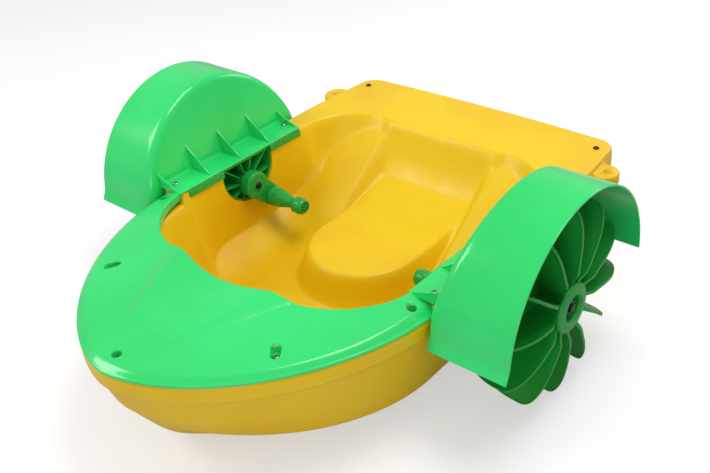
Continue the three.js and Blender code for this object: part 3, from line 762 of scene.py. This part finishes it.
def cover_height(x, y, across, from_edge):
    """Top of the cover. across runs from 0 at the outer edge to 1 at the cockpit."""
    side = np.abs(x)
    bevel = BEVEL_RISE * ease(from_edge / EDGE_BEVEL) ** 0.8
    arm = ease((side - 200.0) / 120.0)
    deck = LEDGE_Z + 5.0 + bevel + (18.5 - 3.0 * arm) * np.clip(across, 0, 1) ** 1.15
    run = np.clip((y - RIDGE_Y[0]) / (RIDGE_Y[1] - RIDGE_Y[0]), -0.4, 1.2)
    ahead = np.clip(run, 0.0, 1.2)
    crest_x = RIDGE_X[0] + (RIDGE_X[1] - RIDGE_X[0]) * run
    flank = 15.0 + 40.0 * ahead
    rise = np.clip((crest_x + flank - side) / flank, 0.0, 1.0)
    rise = smooth_min(rise, 1.0 + 0 * rise, 0.35) * ease(rise / 0.22)
    lift = (6.5 + 7.0 * ahead) * ease((run + 0.13) / 0.13)
    dish = 8.5 * ahead * (1.0 - np.clip(side / crest_x, 0.0, 1.0) ** 2)
    return deck + lift * rise - dish


def build_cover():
    """One closed section at each point along the edges: top, cockpit lip, underside, outer rim."""
    outer, inner = cover_curves()
    count = len(outer)
    width = np.linalg.norm(inner - outer, axis=1)
    toward = (inner - outer) / width[:, None]
    across = np.linspace(0.0, 1.0, COVER_SPAN) ** 1.25
    top = []
    for t in across:
        from_edge = 4.0 + t * (width - 8.0)
        plan = outer + toward * from_edge[:, None]
        z = cover_height(plan[:, 0], plan[:, 1], t + 0 * width, from_edge)
        top.append(np.c_[plan, z])

    def shifted(edge, *stations):
        return [np.c_[edge + toward * offset, z + 0 * width] for offset, z in stations]

    low = LEDGE_Z + 0.4
    edge_z, rim_z = top[0][:, 2], top[-1][:, 2]
    outside = shifted(
        outer, (COVER_SKIN, low), (0.8, low), (0.0, low + 0.9),
        (0.0, edge_z - 3.6), (0.6, edge_z - 1.9), (2.0, edge_z - 0.6),
    )
    cockpit = shifted(
        inner, (-2.2, rim_z - 0.5), (-0.7, rim_z - 2.2), (0.0, rim_z - 5.0), (0.0, rim_z - 19.0),
        (-0.6, rim_z - 20.4), (-3.4, rim_z - 20.4), (-4.0, rim_z - 19.0), (-4.0, rim_z - 7.0),
    )
    under = [ring - (0, 0, COVER_SKIN) for ring in top[-2:0:-3]]
    rings = np.array(outside + top + cockpit + under)
    loops = rings.transpose(1, 0, 2)
    return loft("cover_shell", loops, sharp=40.0)


WELL_R = 9.0
WELL_SKIN = 1.2
POST_WALL = 2.5
SCREW_HOLE_R = 3.4
LONG_WELL = 8.0  # half the extra length of the two oval wells


def sink_screws(cover, nodes):
    """Hollow posts under the cover, with the screw at the bottom of each well."""
    bottom = LEDGE_Z + 0.6
    posts, wells = [], []
    for node in nodes:
        low, high = mm_box(node)
        x, y = (low[:2] + high[:2]) / 2
        head = high[2] - SCREW_HEAD
        away = math.copysign(1.0, x) if abs(x) > 1 else 0.0
        stretch = LONG_WELL if 200 < abs(x) < 300 else 0.0
        along = np.array((0.6 * away, -0.8))
        above = Vector((x * MM, y * MM, 0.4))
        surface = cover.ray_cast(above, Vector((0, 0, -1)))[1][2] / MM
        a = np.linspace(0, 2 * math.pi, 40, endpoint=False) + 0.01
        circle = np.c_[np.cos(a), np.sin(a)]

        def oval(radius, z):
            ends = np.sign(circle @ along)[:, None] * along * stretch
            return np.c_[circle * radius + ends + (x, y), np.full(len(a), z)]

        post_r = WELL_R + POST_WALL
        posts.append(loft("post", [oval(post_r, bottom), oval(post_r, surface - 5.0)]))
        wells.append(loft("well", [
            oval(WELL_R - 1.5, head - 0.3),
            oval(WELL_R, surface - 2.5),
            oval(WELL_R + WELL_SKIN, surface + 1.0),
            oval(WELL_R + 12.0, surface + 14.0),
        ]))
        hole = rod(bottom - 5, head + 1, SCREW_HOLE_R)
        wells.append(turned("hole", hole, (x, y, 0), "Z", 24))
    combine(cover, posts, "UNION")
    combine(cover, wells, "DIFFERENCE")
    finish_normals(cover, 40.0)


COVER_SCREWS = ("deck_screw_bow", "deck_screw_left", "deck_screw_right",
                "deck_screw_arm_left", "deck_screw_arm_right")

cover = build_cover()
sink_screws(cover, COVER_SCREWS)
dress(cover, COVER_GREEN, "boat", "deck_cover")


# ---- Wheel guards ----

GUARD_IN, GUARD_LOW_IN, GUARD_OUT = 422.0, 386.0, 558.0
GUARD_R = 244.0
GUARD_CROWN = AXLE_Z + GUARD_R
FLANGE_IN = 318.0
FLANGE_FRONT, FLANGE_REAR = -139.0, 249.0
FLANGE_TOP = 282.3
FLANGE_LOW = 278.3
LEAN_START = FLANGE_TOP + 4.0
GUARD_SKIN = 4.0
GUARD_WALL_R = 28.0  # the inner wall starts this far from the axle
GUARD_ROUND = 16.0  # between the inner wall and the arch
LIP_FLARE, LIP_LENGTH = 10.0, 26.0
LIP_KEEP = 40.0  # outer strip of the arch that stays upright while the wall leans
GUSSETS = 5
GUSSET_HALF = 1.8
END_GUSSET, GUSSET = 28.0, 56.0  # heights


def wall_at(z):
    """Distance of the guard's inner wall from the middle of the boat at a height."""
    lean = (GUARD_IN - GUARD_LOW_IN) / (GUARD_CROWN - LEAN_START)
    return np.maximum(GUARD_LOW_IN, GUARD_IN - lean * (GUARD_CROWN - z))


def build_guard(name):
    """Arch and inner wall as one swept section, with the flange and its gussets joined on."""
    corners = [
        (GUARD_OUT, GUARD_R - GUARD_SKIN), (GUARD_OUT, GUARD_R), (GUARD_IN, GUARD_R),
        (GUARD_IN, GUARD_WALL_R), (GUARD_IN + GUARD_SKIN, GUARD_WALL_R),
        (GUARD_IN + GUARD_SKIN, GUARD_R - GUARD_SKIN),
    ]
    inner_round = GUARD_ROUND - GUARD_SKIN
    section = rounded(corners, [1.6, 1.6, GUARD_ROUND, 1.5, 1.5, inner_round], 9)
    gaps = np.linalg.norm(np.roll(section, -1, axis=0) - section, axis=1)
    fine = []
    for point, following, gap in zip(section, np.roll(section, -1, axis=0), gaps):
        steps = max(1, round(gap / 9.0))
        fine += [point + (following - point) * k / steps for k in range(steps)]
    section = np.array(fine)
    angles = np.linspace(math.radians(2.0), math.pi, 130)
    upright = GUARD_OUT - LIP_KEEP
    rings = []
    for a in angles:
        x, r = section.T
        outer = ease((r - 180.0) / 40.0)
        near_end = float(np.clip(1.0 - (math.pi - a) * GUARD_R / LIP_LENGTH, 0.0, 1.0))
        r = r + LIP_FLARE * near_end ** 1.3 * outer
        z = AXLE_Z + r * math.sin(a)
        share = np.clip((upright - x) / (upright - GUARD_IN), 0.0, 1.0)
        rings.append(np.c_[x - (GUARD_IN - wall_at(z)) * share, AXLE_Y + r * math.cos(a), z])
    shell = loft("guard_shell", rings)
    buried, face = GUARD_LOW_IN + 2, GUARD_LOW_IN - 0.2
    fillet = 14
    shelf = rounded(
        [
            (FLANGE_IN, FLANGE_LOW), (buried, FLANGE_LOW), (buried, FLANGE_TOP + fillet),
            (face, FLANGE_TOP + fillet), (face, FLANGE_TOP), (FLANGE_IN, FLANGE_TOP),
        ],
        [1, 0, 0, 0, fillet, 1.6], 8,
    )
    flange = slab_y("flange", shelf, shelf.mean(axis=0), [
        (FLANGE_FRONT, 1.0), (FLANGE_FRONT + 1.2, 0.0),
        (FLANGE_REAR - 1.2, 0.0), (FLANGE_REAR, 1.0),
    ])
    ends = FLANGE_FRONT + GUSSET_HALF + 0.5, FLANGE_REAR - GUSSET_HALF - 0.5
    gussets = [
        gusset(y, END_GUSSET if k in (0, GUSSETS - 1) else GUSSET)
        for k, y in enumerate(np.linspace(*ends, GUSSETS))
    ]
    combine(shell, [flange, *gussets], "UNION")
    finish_normals(shell, 36.0)
    shell.name = name
    return shell


def gusset(y, rise):
    """A triangular rib between the leaning wall and the flange, with softened rims."""
    t = np.linspace(0, 1, 10)
    foot = FLANGE_IN + 3.0
    head = float(wall_at(FLANGE_TOP + rise)) + 1.0
    x = head + (foot - head) * t
    z = FLANGE_TOP + rise * (1 - t) ** 1.12
    outline = np.vstack([
        np.c_[x, z], [(foot, FLANGE_TOP - 2)], [(GUARD_LOW_IN + 2, FLANGE_TOP - 2)],
        [(float(wall_at(FLANGE_TOP + rise)) + 2.5, FLANGE_TOP + rise)],
    ])
    middle = np.array((GUARD_LOW_IN - 12.0, FLANGE_TOP + 8.0))
    across = ((-1.0, 0.9), (-0.55, 0.0), (0.55, 0.0), (1.0, 0.9))
    return slab_y("gusset", outline, middle, [(y + k * GUSSET_HALF, inset) for k, inset in across])


for side in SIDES:
    guard = build_guard("guard_" + side)
    dress_side(guard, side, COVER_GREEN, "boat", "wheel_guard")


# ---- Bearing brackets ----

BRACKET_IN, BRACKET_OUT = 320.0, 376.0
BAND = 4.0
BOSS_R = 24.0
BUSH_SEAT_R = 14.3
RIBS = 11
WING_IN, WING_LOW, WING_REACH = 313.4, 262.0, 181.0


def basket_reach(angle, radius, top):
    """Distance from the axle to the U-shaped band in one direction."""
    along = np.arange(20.0, 2.5 * radius, 0.25)
    y = along * math.cos(angle)
    z = AXLE_Z + along * math.sin(angle)
    in_arc = np.hypot(y, z - NOTCH_Z) < radius
    inside = np.where(z > NOTCH_Z, np.abs(y) < radius, in_arc) & (z < top)
    return along[np.argmin(inside)]


def build_bracket(name):
    """Ribbed basket: a U-shaped band, a back plate, a boss, ribs between them and two wings."""
    x0, x1, r = BRACKET_IN, BRACKET_OUT, NOTCH_R - 0.6
    top = GUNWALE_Z - 0.4
    band = slab_x("band", notch_outline(r, top), x0, x1, 1.2)
    hollow = notch_outline(r - BAND, top - BAND - 1)
    combine(band, [slab_x("hollow", hollow, x0 - 5, x1 + 5)], "DIFFERENCE")
    plate = slab_x("plate", notch_outline(r - 2, top - 2), x1 - 8, x1 - 4)
    hub = turned(
        "hub",
        rounded(rod(x0 - 0.5, x1, BOSS_R), 2, 4, closed=False),
        ON_AXLE, sides=48,
    )
    ribs = []
    centre = np.array((AXLE_Y, AXLE_Z))
    for k in range(RIBS):
        angle = 2 * math.pi * k / RIBS - math.pi / 2
        along = np.array((math.cos(angle), math.sin(angle)))
        cross = np.array((-along[1], along[0]))
        tip = basket_reach(angle, r - 2, top - 3)
        quad = [centre + along * d + cross * w for d, w in
                ((18, -1.9), (tip, -1.5), (tip, 1.5), (18, 1.9))]
        ribs.append(slab_x("rib", quad, x0 + 3, x1 - 5))
    wings = []
    for way in (-1, 1):
        near, link, tip = (AXLE_Y + way * d for d in (r - BAND, r, WING_REACH))
        wing = plate_outline(near, tip, WING_LOW, top)
        wings.append(slab_x("wing", wing, WING_IN, WING_IN + 4, 0.8))
        bridge = plate_outline(near, link, WING_LOW, top)
        wings.append(slab_x("link", bridge, WING_IN + 1, x0 + 6))
    combine(band, [plate, hub, *ribs, *wings], "UNION")
    bore = turned("bore", rod(x0 - 9, x1 + 9, BUSH_SEAT_R), ON_AXLE, sides=40)
    combine(band, [bore], "DIFFERENCE")
    finish_normals(band, 32.0)
    band.name = name
    return band


def plate_outline(y0, y1, z0, z1):
    return np.array([(y0, z0), (y1, z0), (y1, z1), (y0, z1)])


for side in SIDES:
    bracket = build_bracket("bracket_" + side)
    dress_side(bracket, side, CRANK_GREEN, "boat", "bearing_bracket")


# ---- Paddle wheels ----

BLADES = 12
WHEEL_IN, WHEEL_OUT = 431.0, 548.0
WHEEL_R = 205.0
BLADE_PHASE = math.radians(27)
BLADE_ROOT_R = 34.0
TIP_INSET = 40.0  # the outboard rim comes in by this much towards the tip
TIP_REACH, INNER_REACH = 100.0, 36.0  # how far from the tip the two rims start to turn in
RIM_POWERS = (2.4, 0.42)  # shape of that turn
BLADE_HALF, BEAD, ROOT_FILLET = 1.5, 1.7, 6.0
AXLE_BORE_R = 9.3
HUB_DISC_R = 52.0
WEB_R = 118.0


def rim_turn(t):
    """0 where the rim runs straight, 1 at the tip."""
    return 1 - (1 - t ** RIM_POWERS[0]) ** RIM_POWERS[1]


def build_blade(phase):
    """A leaf-shaped scoop with a bead round its rim: widest halfway out, rounded to its tip."""
    across = np.sin(np.linspace(-math.pi / 2, math.pi / 2, 23))
    along = np.sin(np.linspace(0, math.pi / 2, 40))
    s, t = np.meshgrid(across, along)
    r = BLADE_ROOT_R + (WHEEL_R - BLADE_ROOT_R) * t
    outer_turn = np.clip((r - WHEEL_R + TIP_REACH) / TIP_REACH, 0.0, 1.0)
    inner_turn = 1.0 - np.clip((WHEEL_R - r) / INNER_REACH, 0.0, 1.0)
    outboard = WHEEL_OUT - 10.0 * (1 - ease((r - 50.0) / 30.0))
    outboard = outboard - TIP_INSET * rim_turn(outer_turn)
    inboard = WHEEL_IN + (WHEEL_OUT - TIP_INSET - WHEEL_IN) * rim_turn(inner_turn)
    middle, half_span = (inboard + outboard) / 2, (outboard - inboard) / 2
    x = middle + s * half_span
    off_centre = (x - (WHEEL_IN + WHEEL_OUT) / 2) / (WHEEL_OUT - WHEEL_IN) * 2
    angle = phase - 0.07 * (off_centre ** 2 + 0.6 * t) * t
    bead = BEAD * np.exp(-np.minimum((1 - np.abs(s)) * half_span, WHEEL_R - r) / 4.5)
    half = BLADE_HALF + bead + ROOT_FILLET * np.exp(-(r - BLADE_ROOT_R) / 14.0)
    normal = np.stack([0 * r, -np.sin(angle), np.cos(angle)], axis=2) * half[:, :, None]
    base = np.stack([x, AXLE_Y + r * np.cos(angle), AXLE_Z + r * np.sin(angle)], axis=2)
    points = np.concatenate([(base + normal).reshape(-1, 3), (base - normal).reshape(-1, 3)])
    rows, cols = s.shape
    faces = []
    for layer in (0, rows * cols):
        for row in range(rows - 1):
            for col in range(cols - 1):
                a = layer + row * cols + col
                quad = (a, a + 1, a + cols + 1, a + cols)
                faces.append(quad if layer else quad[::-1])
    back = rows * cols
    grid = np.arange(back).reshape(rows, cols)
    border = np.r_[grid[0], grid[1:, -1], grid[-1, -2::-1], grid[-2:0:-1, 0]].tolist()
    faces += [(a, b, b + back, a + back) for a, b in zip(border, border[1:] + border[:1])]
    return make_piece("blade", points, faces, 60.0)


def build_wheel(name):
    """Flared hub with a recess for the nut, a thin web round it, and the blades."""
    hub_profile = rounded(
        [
            (WHEEL_IN, 0), (WHEEL_IN, 34), (WHEEL_IN + 30, 32), (WHEEL_OUT - 40, 36),
            (WHEEL_OUT - 9, HUB_DISC_R), (WHEEL_OUT - 3, 50), (WHEEL_OUT, 31), (WHEEL_OUT - 5, 27),
            (WHEEL_OUT - 22, 27), (WHEEL_OUT - 22, 0),
        ],
        [0, 3, 20, 30, 8, 9, 4, 5, 2, 0], 8, closed=False,
    )
    wheel = turned("hub", hub_profile, ON_AXLE, sides=96)
    web = turned(
        "web",
        rounded(rod(WHEEL_IN + 50, WHEEL_IN + 54, WEB_R), 1.8, 4, closed=False),
        ON_AXLE, sides=72,
    )
    blades = [build_blade(BLADE_PHASE + 2 * math.pi * k / BLADES) for k in range(BLADES)]
    combine(wheel, [web, *blades], "UNION")
    through = rod(WHEEL_IN - 9, WHEEL_OUT + 9, AXLE_BORE_R)
    bore = turned("bore", through, ON_AXLE, sides=32)
    combine(wheel, [bore], "DIFFERENCE")
    finish_normals(wheel, 42.0)
    wheel.name = name
    return wheel


for side in SIDES:
    wheel = build_wheel("wheel_" + side)
    # The wheel's green carries painted shade: it is a darkened copy of the cover's green.
    dress_side(wheel, side, WHEEL_GREEN_WITH_PAINTED_SHADE, "drive_" + side, "paddle_wheel")


# ---- Cranks and grips ----

DRUM_IN, DRUM_OUT = 290.0, 318.0
ARM_IN, ARM_OUT = 290.0, 312.0
ARM_AXLE_R, ARM_PIN_R = 29.0, 25.0  # the arm's round ends
DRUM_R = 33.0
GRIP_TIP = 186.0
PIN_BORE_R = 5.4
GRIP_CAP_R = 13.0
CAP_BAR = (13.5, 1.3)  # half-length and half-width of the bars across the cap


def build_arm(name, grip_y, grip_z):
    """Drum on the axle and arm to the grip, in one moulding."""
    axle = np.array((AXLE_Y, AXLE_Z))
    grip = np.array((grip_y, grip_z))
    along = (grip - axle) / np.linalg.norm(grip - axle)
    turn = math.atan2(along[1], along[0])
    a = np.linspace(math.pi / 2, 3 * math.pi / 2, 24) + turn
    b = np.linspace(-math.pi / 2, math.pi / 2, 24) + turn
    outline = np.vstack([
        axle + ARM_AXLE_R * np.c_[np.cos(a), np.sin(a)],
        grip + ARM_PIN_R * np.c_[np.cos(b), np.sin(b)],
    ])
    arm = slab_x("arm", outline, ARM_IN + 0.6, ARM_OUT, 3.0)
    drum = turned(
        "drum",
        rounded(
            [(DRUM_IN, 0), (DRUM_IN, 15), (DRUM_IN + 1.2, 16.5), (DRUM_IN + 1.2, 19),
             (DRUM_IN, 20.5), (DRUM_IN, DRUM_R), (DRUM_OUT, DRUM_R), (DRUM_OUT, 0)],
            [0, 0.4, 0.4, 0.4, 0.4, 7, 3, 0], 6, closed=False,
        ),
        (0, *axle), sides=64,
    )
    combine(arm, [drum], "UNION")
    cutters = [
        turned("bore", rod(DRUM_IN + 11, DRUM_OUT + 9, AXLE_BORE_R), (0, *axle), sides=32),
        turned("hole", rod(DRUM_IN - 9, DRUM_IN + 20, 5), (0, *axle), sides=24),
        turned("seat", rod(ARM_IN - 9, ARM_OUT - 4, 5.3), (0, *grip), sides=24),
    ]
    combine(arm, cutters, "DIFFERENCE")
    finish_normals(arm, 34.0)
    arm.name = name
    return arm


def build_grip(name, grip_y, grip_z):
    """Spool-shaped sleeve: grooved collar at the arm, a long cone, a neck and a rounded knob."""
    root = ARM_IN - 0.3
    tip = GRIP_TIP
    profile = rounded(
        [
            (root, PIN_BORE_R), (root, 24.5), (root - 4.5, 24.5), (root - 6, 22.8),
            (root - 7.5, 24.4), (root - 11, 24.2), (root - 12.5, 22.4), (root - 14, 23.8),
            (root - 24, 22.4),
            (root - 45, 17.0), (tip + 44, 13.4), (tip + 38, 11.6), (tip + 33, 15.5),
            (tip + 27, 20.0), (tip + 9, 20.0), (tip, 16.0), (tip, 13.2), (tip + 4, 12.4),
            (tip + 4.4, 11.0), (tip + 10, 10.6),
            (tip + 10, PIN_BORE_R),
        ],
        [0.5, 1.8, 0.8, 0.8, 0.8, 0.8, 0.8, 1.5, 6, 12, 5,
         3, 3, 5, 8, 3, 0.8, 0.3, 0.5, 0.5, 0.5], 5,
    )
    grip = turned(name, profile, (0, grip_y, grip_z), sides=64, sharp=34.0)
    cap = turned("cap", rod(tip + 3.4, tip + 6, GRIP_CAP_R), (0, grip_y, grip_z), sides=40)
    long, wide = CAP_BAR
    bars = []
    for k in range(3):
        turn = math.pi * k / 3
        flat = np.array([(-long, -wide), (long, -wide), (long, wide), (-long, wide)])
        spin = np.array([(math.cos(turn), math.sin(turn)), (-math.sin(turn), math.cos(turn))])
        bars.append(slab_x("bar", flat @ spin + (grip_y, grip_z), tip + 0.7, tip + 4.5))
    combine(grip, [cap, *bars], "UNION")
    finish_normals(grip, 34.0)
    return grip


for side in SIDES:
    grip_y, grip_z = (JOINTS["grip_spin_" + side]["pos_m"][i] / MM for i in (1, 2))
    arm = build_arm("arm_" + side, grip_y, grip_z)
    grip = build_grip("grip_" + side, grip_y, grip_z)
    dress_side(arm, side, CRANK_GREEN, "drive_" + side, "crank_arm")
    dress_side(grip, side, CRANK_GREEN, "grip_" + side, "crank_grip")


# ---- Screws and the small turned pieces ----

SCREW_HEAD_R = 6.9
AXLE_R = 9.0


def build_screw(name, node):
    """Pan-head screw with a cross recess."""
    low, high = mm_box(node)
    x, y = (low[:2] + high[:2]) / 2
    head = high[2] - SCREW_HEAD
    profile = rounded(
        [(low[2], 0), (low[2], 2.4), (head, 3.0), (head, SCREW_HEAD_R), (head + 1.4, SCREW_HEAD_R),
         (head + SCREW_HEAD, 4.6), (head + SCREW_HEAD, 0)],
        [0, 0.5, 0.2, 0.5, 2, 3, 0], 4, closed=False,
    )
    screw = turned(name, profile, (x, y, 0), "Z", 40)
    arms = []
    for wide, deep in ((3.4, 0.7), (0.7, 3.4)):
        square = [(-wide, -deep), (wide, -deep), (wide, deep), (-wide, deep)]
        rings = [np.c_[np.array(square) * k + (x, y), np.full(4, z)]
                 for k, z in ((0.45, head + 1.6), (1.0, head + 5.0))]
        arms.append(loft("recess", rings))
    combine(screw, arms, "DIFFERENCE")
    finish_normals(screw, 34.0)
    return screw


for node in sorted(n for n in frame["nodes"] if "_screw_" in n):
    # The stern screws take the steel darkened as painted shade.
    metal = STEEL_DARKENED_AS_PAINTED_SHADE if node.startswith("stern") else STEEL
    dress(build_screw(node + "_head", node), metal, "boat", node)

for side in SIDES:
    axle_low, axle_high = mm_box("axle_" + side)
    inner, outer = sorted((abs(axle_low[0]), abs(axle_high[0])))
    axle = turned(
        "rod_" + side,
        rounded(rod(inner, outer, AXLE_R), [0, 1, 1, 0], 3, closed=False),
        ON_AXLE, sides=48,
    )
    # The axle takes the steel darkened as painted shade.
    dress_side(axle, side, STEEL_DARKENED_AS_PAINTED_SHADE, "drive_" + side, "axle")

# Wheel nuts and crank bolts take the steel darkened as painted shade.
FINISHES = {
    "bearing_bush": NYLON, "thrust_washer": NYLON, "drain_plug": HULL_YELLOW,
    "drain_seal": RUBBER, "wheel_nut": STEEL_DARKENED_AS_PAINTED_SHADE, "crank_bolt": STEEL_DARKENED_AS_PAINTED_SHADE, "grip_pin": STEEL,
}
for node, piece in frame["nodes"].items():
    for start, material in FINISHES.items():
        if node.startswith(start):
            piece.data.materials.clear()
            piece.data.materials.append(material)


# ---- Floor, light and background ----

FLOOR_GLOW = 0.50  # the pale backdrop as the camera sees it, over what the lights give
FLOOR_HALF = 14.0
WORLD_LIGHT, WORLD_SEEN = 0.48, 0.94


def add_stage():
    n = Nodes("pale_floor")
    tones = [(0.35, linear(190, 190, 192)), (0.65, linear(196, 196, 197))]
    tone = n.ramp(n.noise(0.8, 3.0), tones)
    n.link(tone, n.shader.inputs["Base Color"])
    n.link(n.span(n.noise(2.0, 3.0), 0.68, 0.76), n.shader.inputs["Roughness"])
    paths = n.add("LightPath")
    glow = n.add("Math")
    glow.operation = "MULTIPLY"
    glow.inputs[1].default_value = FLOOR_GLOW
    n.link(paths.outputs["Is Camera Ray"], glow.inputs[0])
    n.shade(Emission_Color=(1.0, 1.0, 1.0, 1.0))
    n.link(glow.outputs["Value"], n.shader.inputs["Emission Strength"])
    corners = [
        (x * FLOOR_HALF, y * FLOOR_HALF, 0) for x, y in ((-1, -1), (1, -1), (1, 1), (-1, 1))
    ]
    mesh = bpy.data.meshes.new("floor")
    mesh.from_pydata(corners, [], [(0, 1, 2, 3)])
    floor = bpy.data.objects.new("floor", mesh)
    floor.location.z = -0.0005
    floor.data.materials.append(n.material)
    bpy.context.collection.objects.link(floor)


def area_light(name, place, aim, size, power):
    data = bpy.data.lights.new(name, "AREA")
    data.shape = "RECTANGLE"
    data.size, data.size_y = size
    data.energy = power
    lamp = bpy.data.objects.new(name, data)
    lamp.location = place
    lamp.rotation_euler = (Vector(aim) - Vector(place)).to_track_quat("-Z", "Y").to_euler()
    bpy.context.collection.objects.link(lamp)


def add_light():
    world = bpy.data.worlds.new("studio")
    world.use_nodes = True
    nodes, links = world.node_tree.nodes, world.node_tree.links
    background = set_inputs(nodes["Background"], {"Color": (1.0, 1.0, 1.0, 1.0)})
    paths = nodes.new("ShaderNodeLightPath")
    strength = nodes.new("ShaderNodeMapRange")
    set_inputs(strength, {"To Min": WORLD_LIGHT, "To Max": WORLD_SEEN})
    links.new(paths.outputs["Is Camera Ray"], strength.inputs["Value"])
    links.new(strength.outputs["Result"], background.inputs["Strength"])
    bpy.context.scene.world = world
    area_light("top", (0.6, 0.35, 2.9), (0.1, 0, 0.2), (1.4, 1.2), 37)
    area_light("key", (-1.9, -1.6, 2.2), (0, 0, 0.2), (1.0, 1.3), 27)
    area_light("rear", (0.6, 2.8, 1.7), (0, 0, 0.3), (2.2, 0.9), 19)
    area_light("fill", (1.5, -2.5, 0.9), (0, -0.2, 0.15), (1.8, 0.9), 13)
    bpy.context.scene.view_settings.view_transform = "Standard"


add_stage()
add_light()
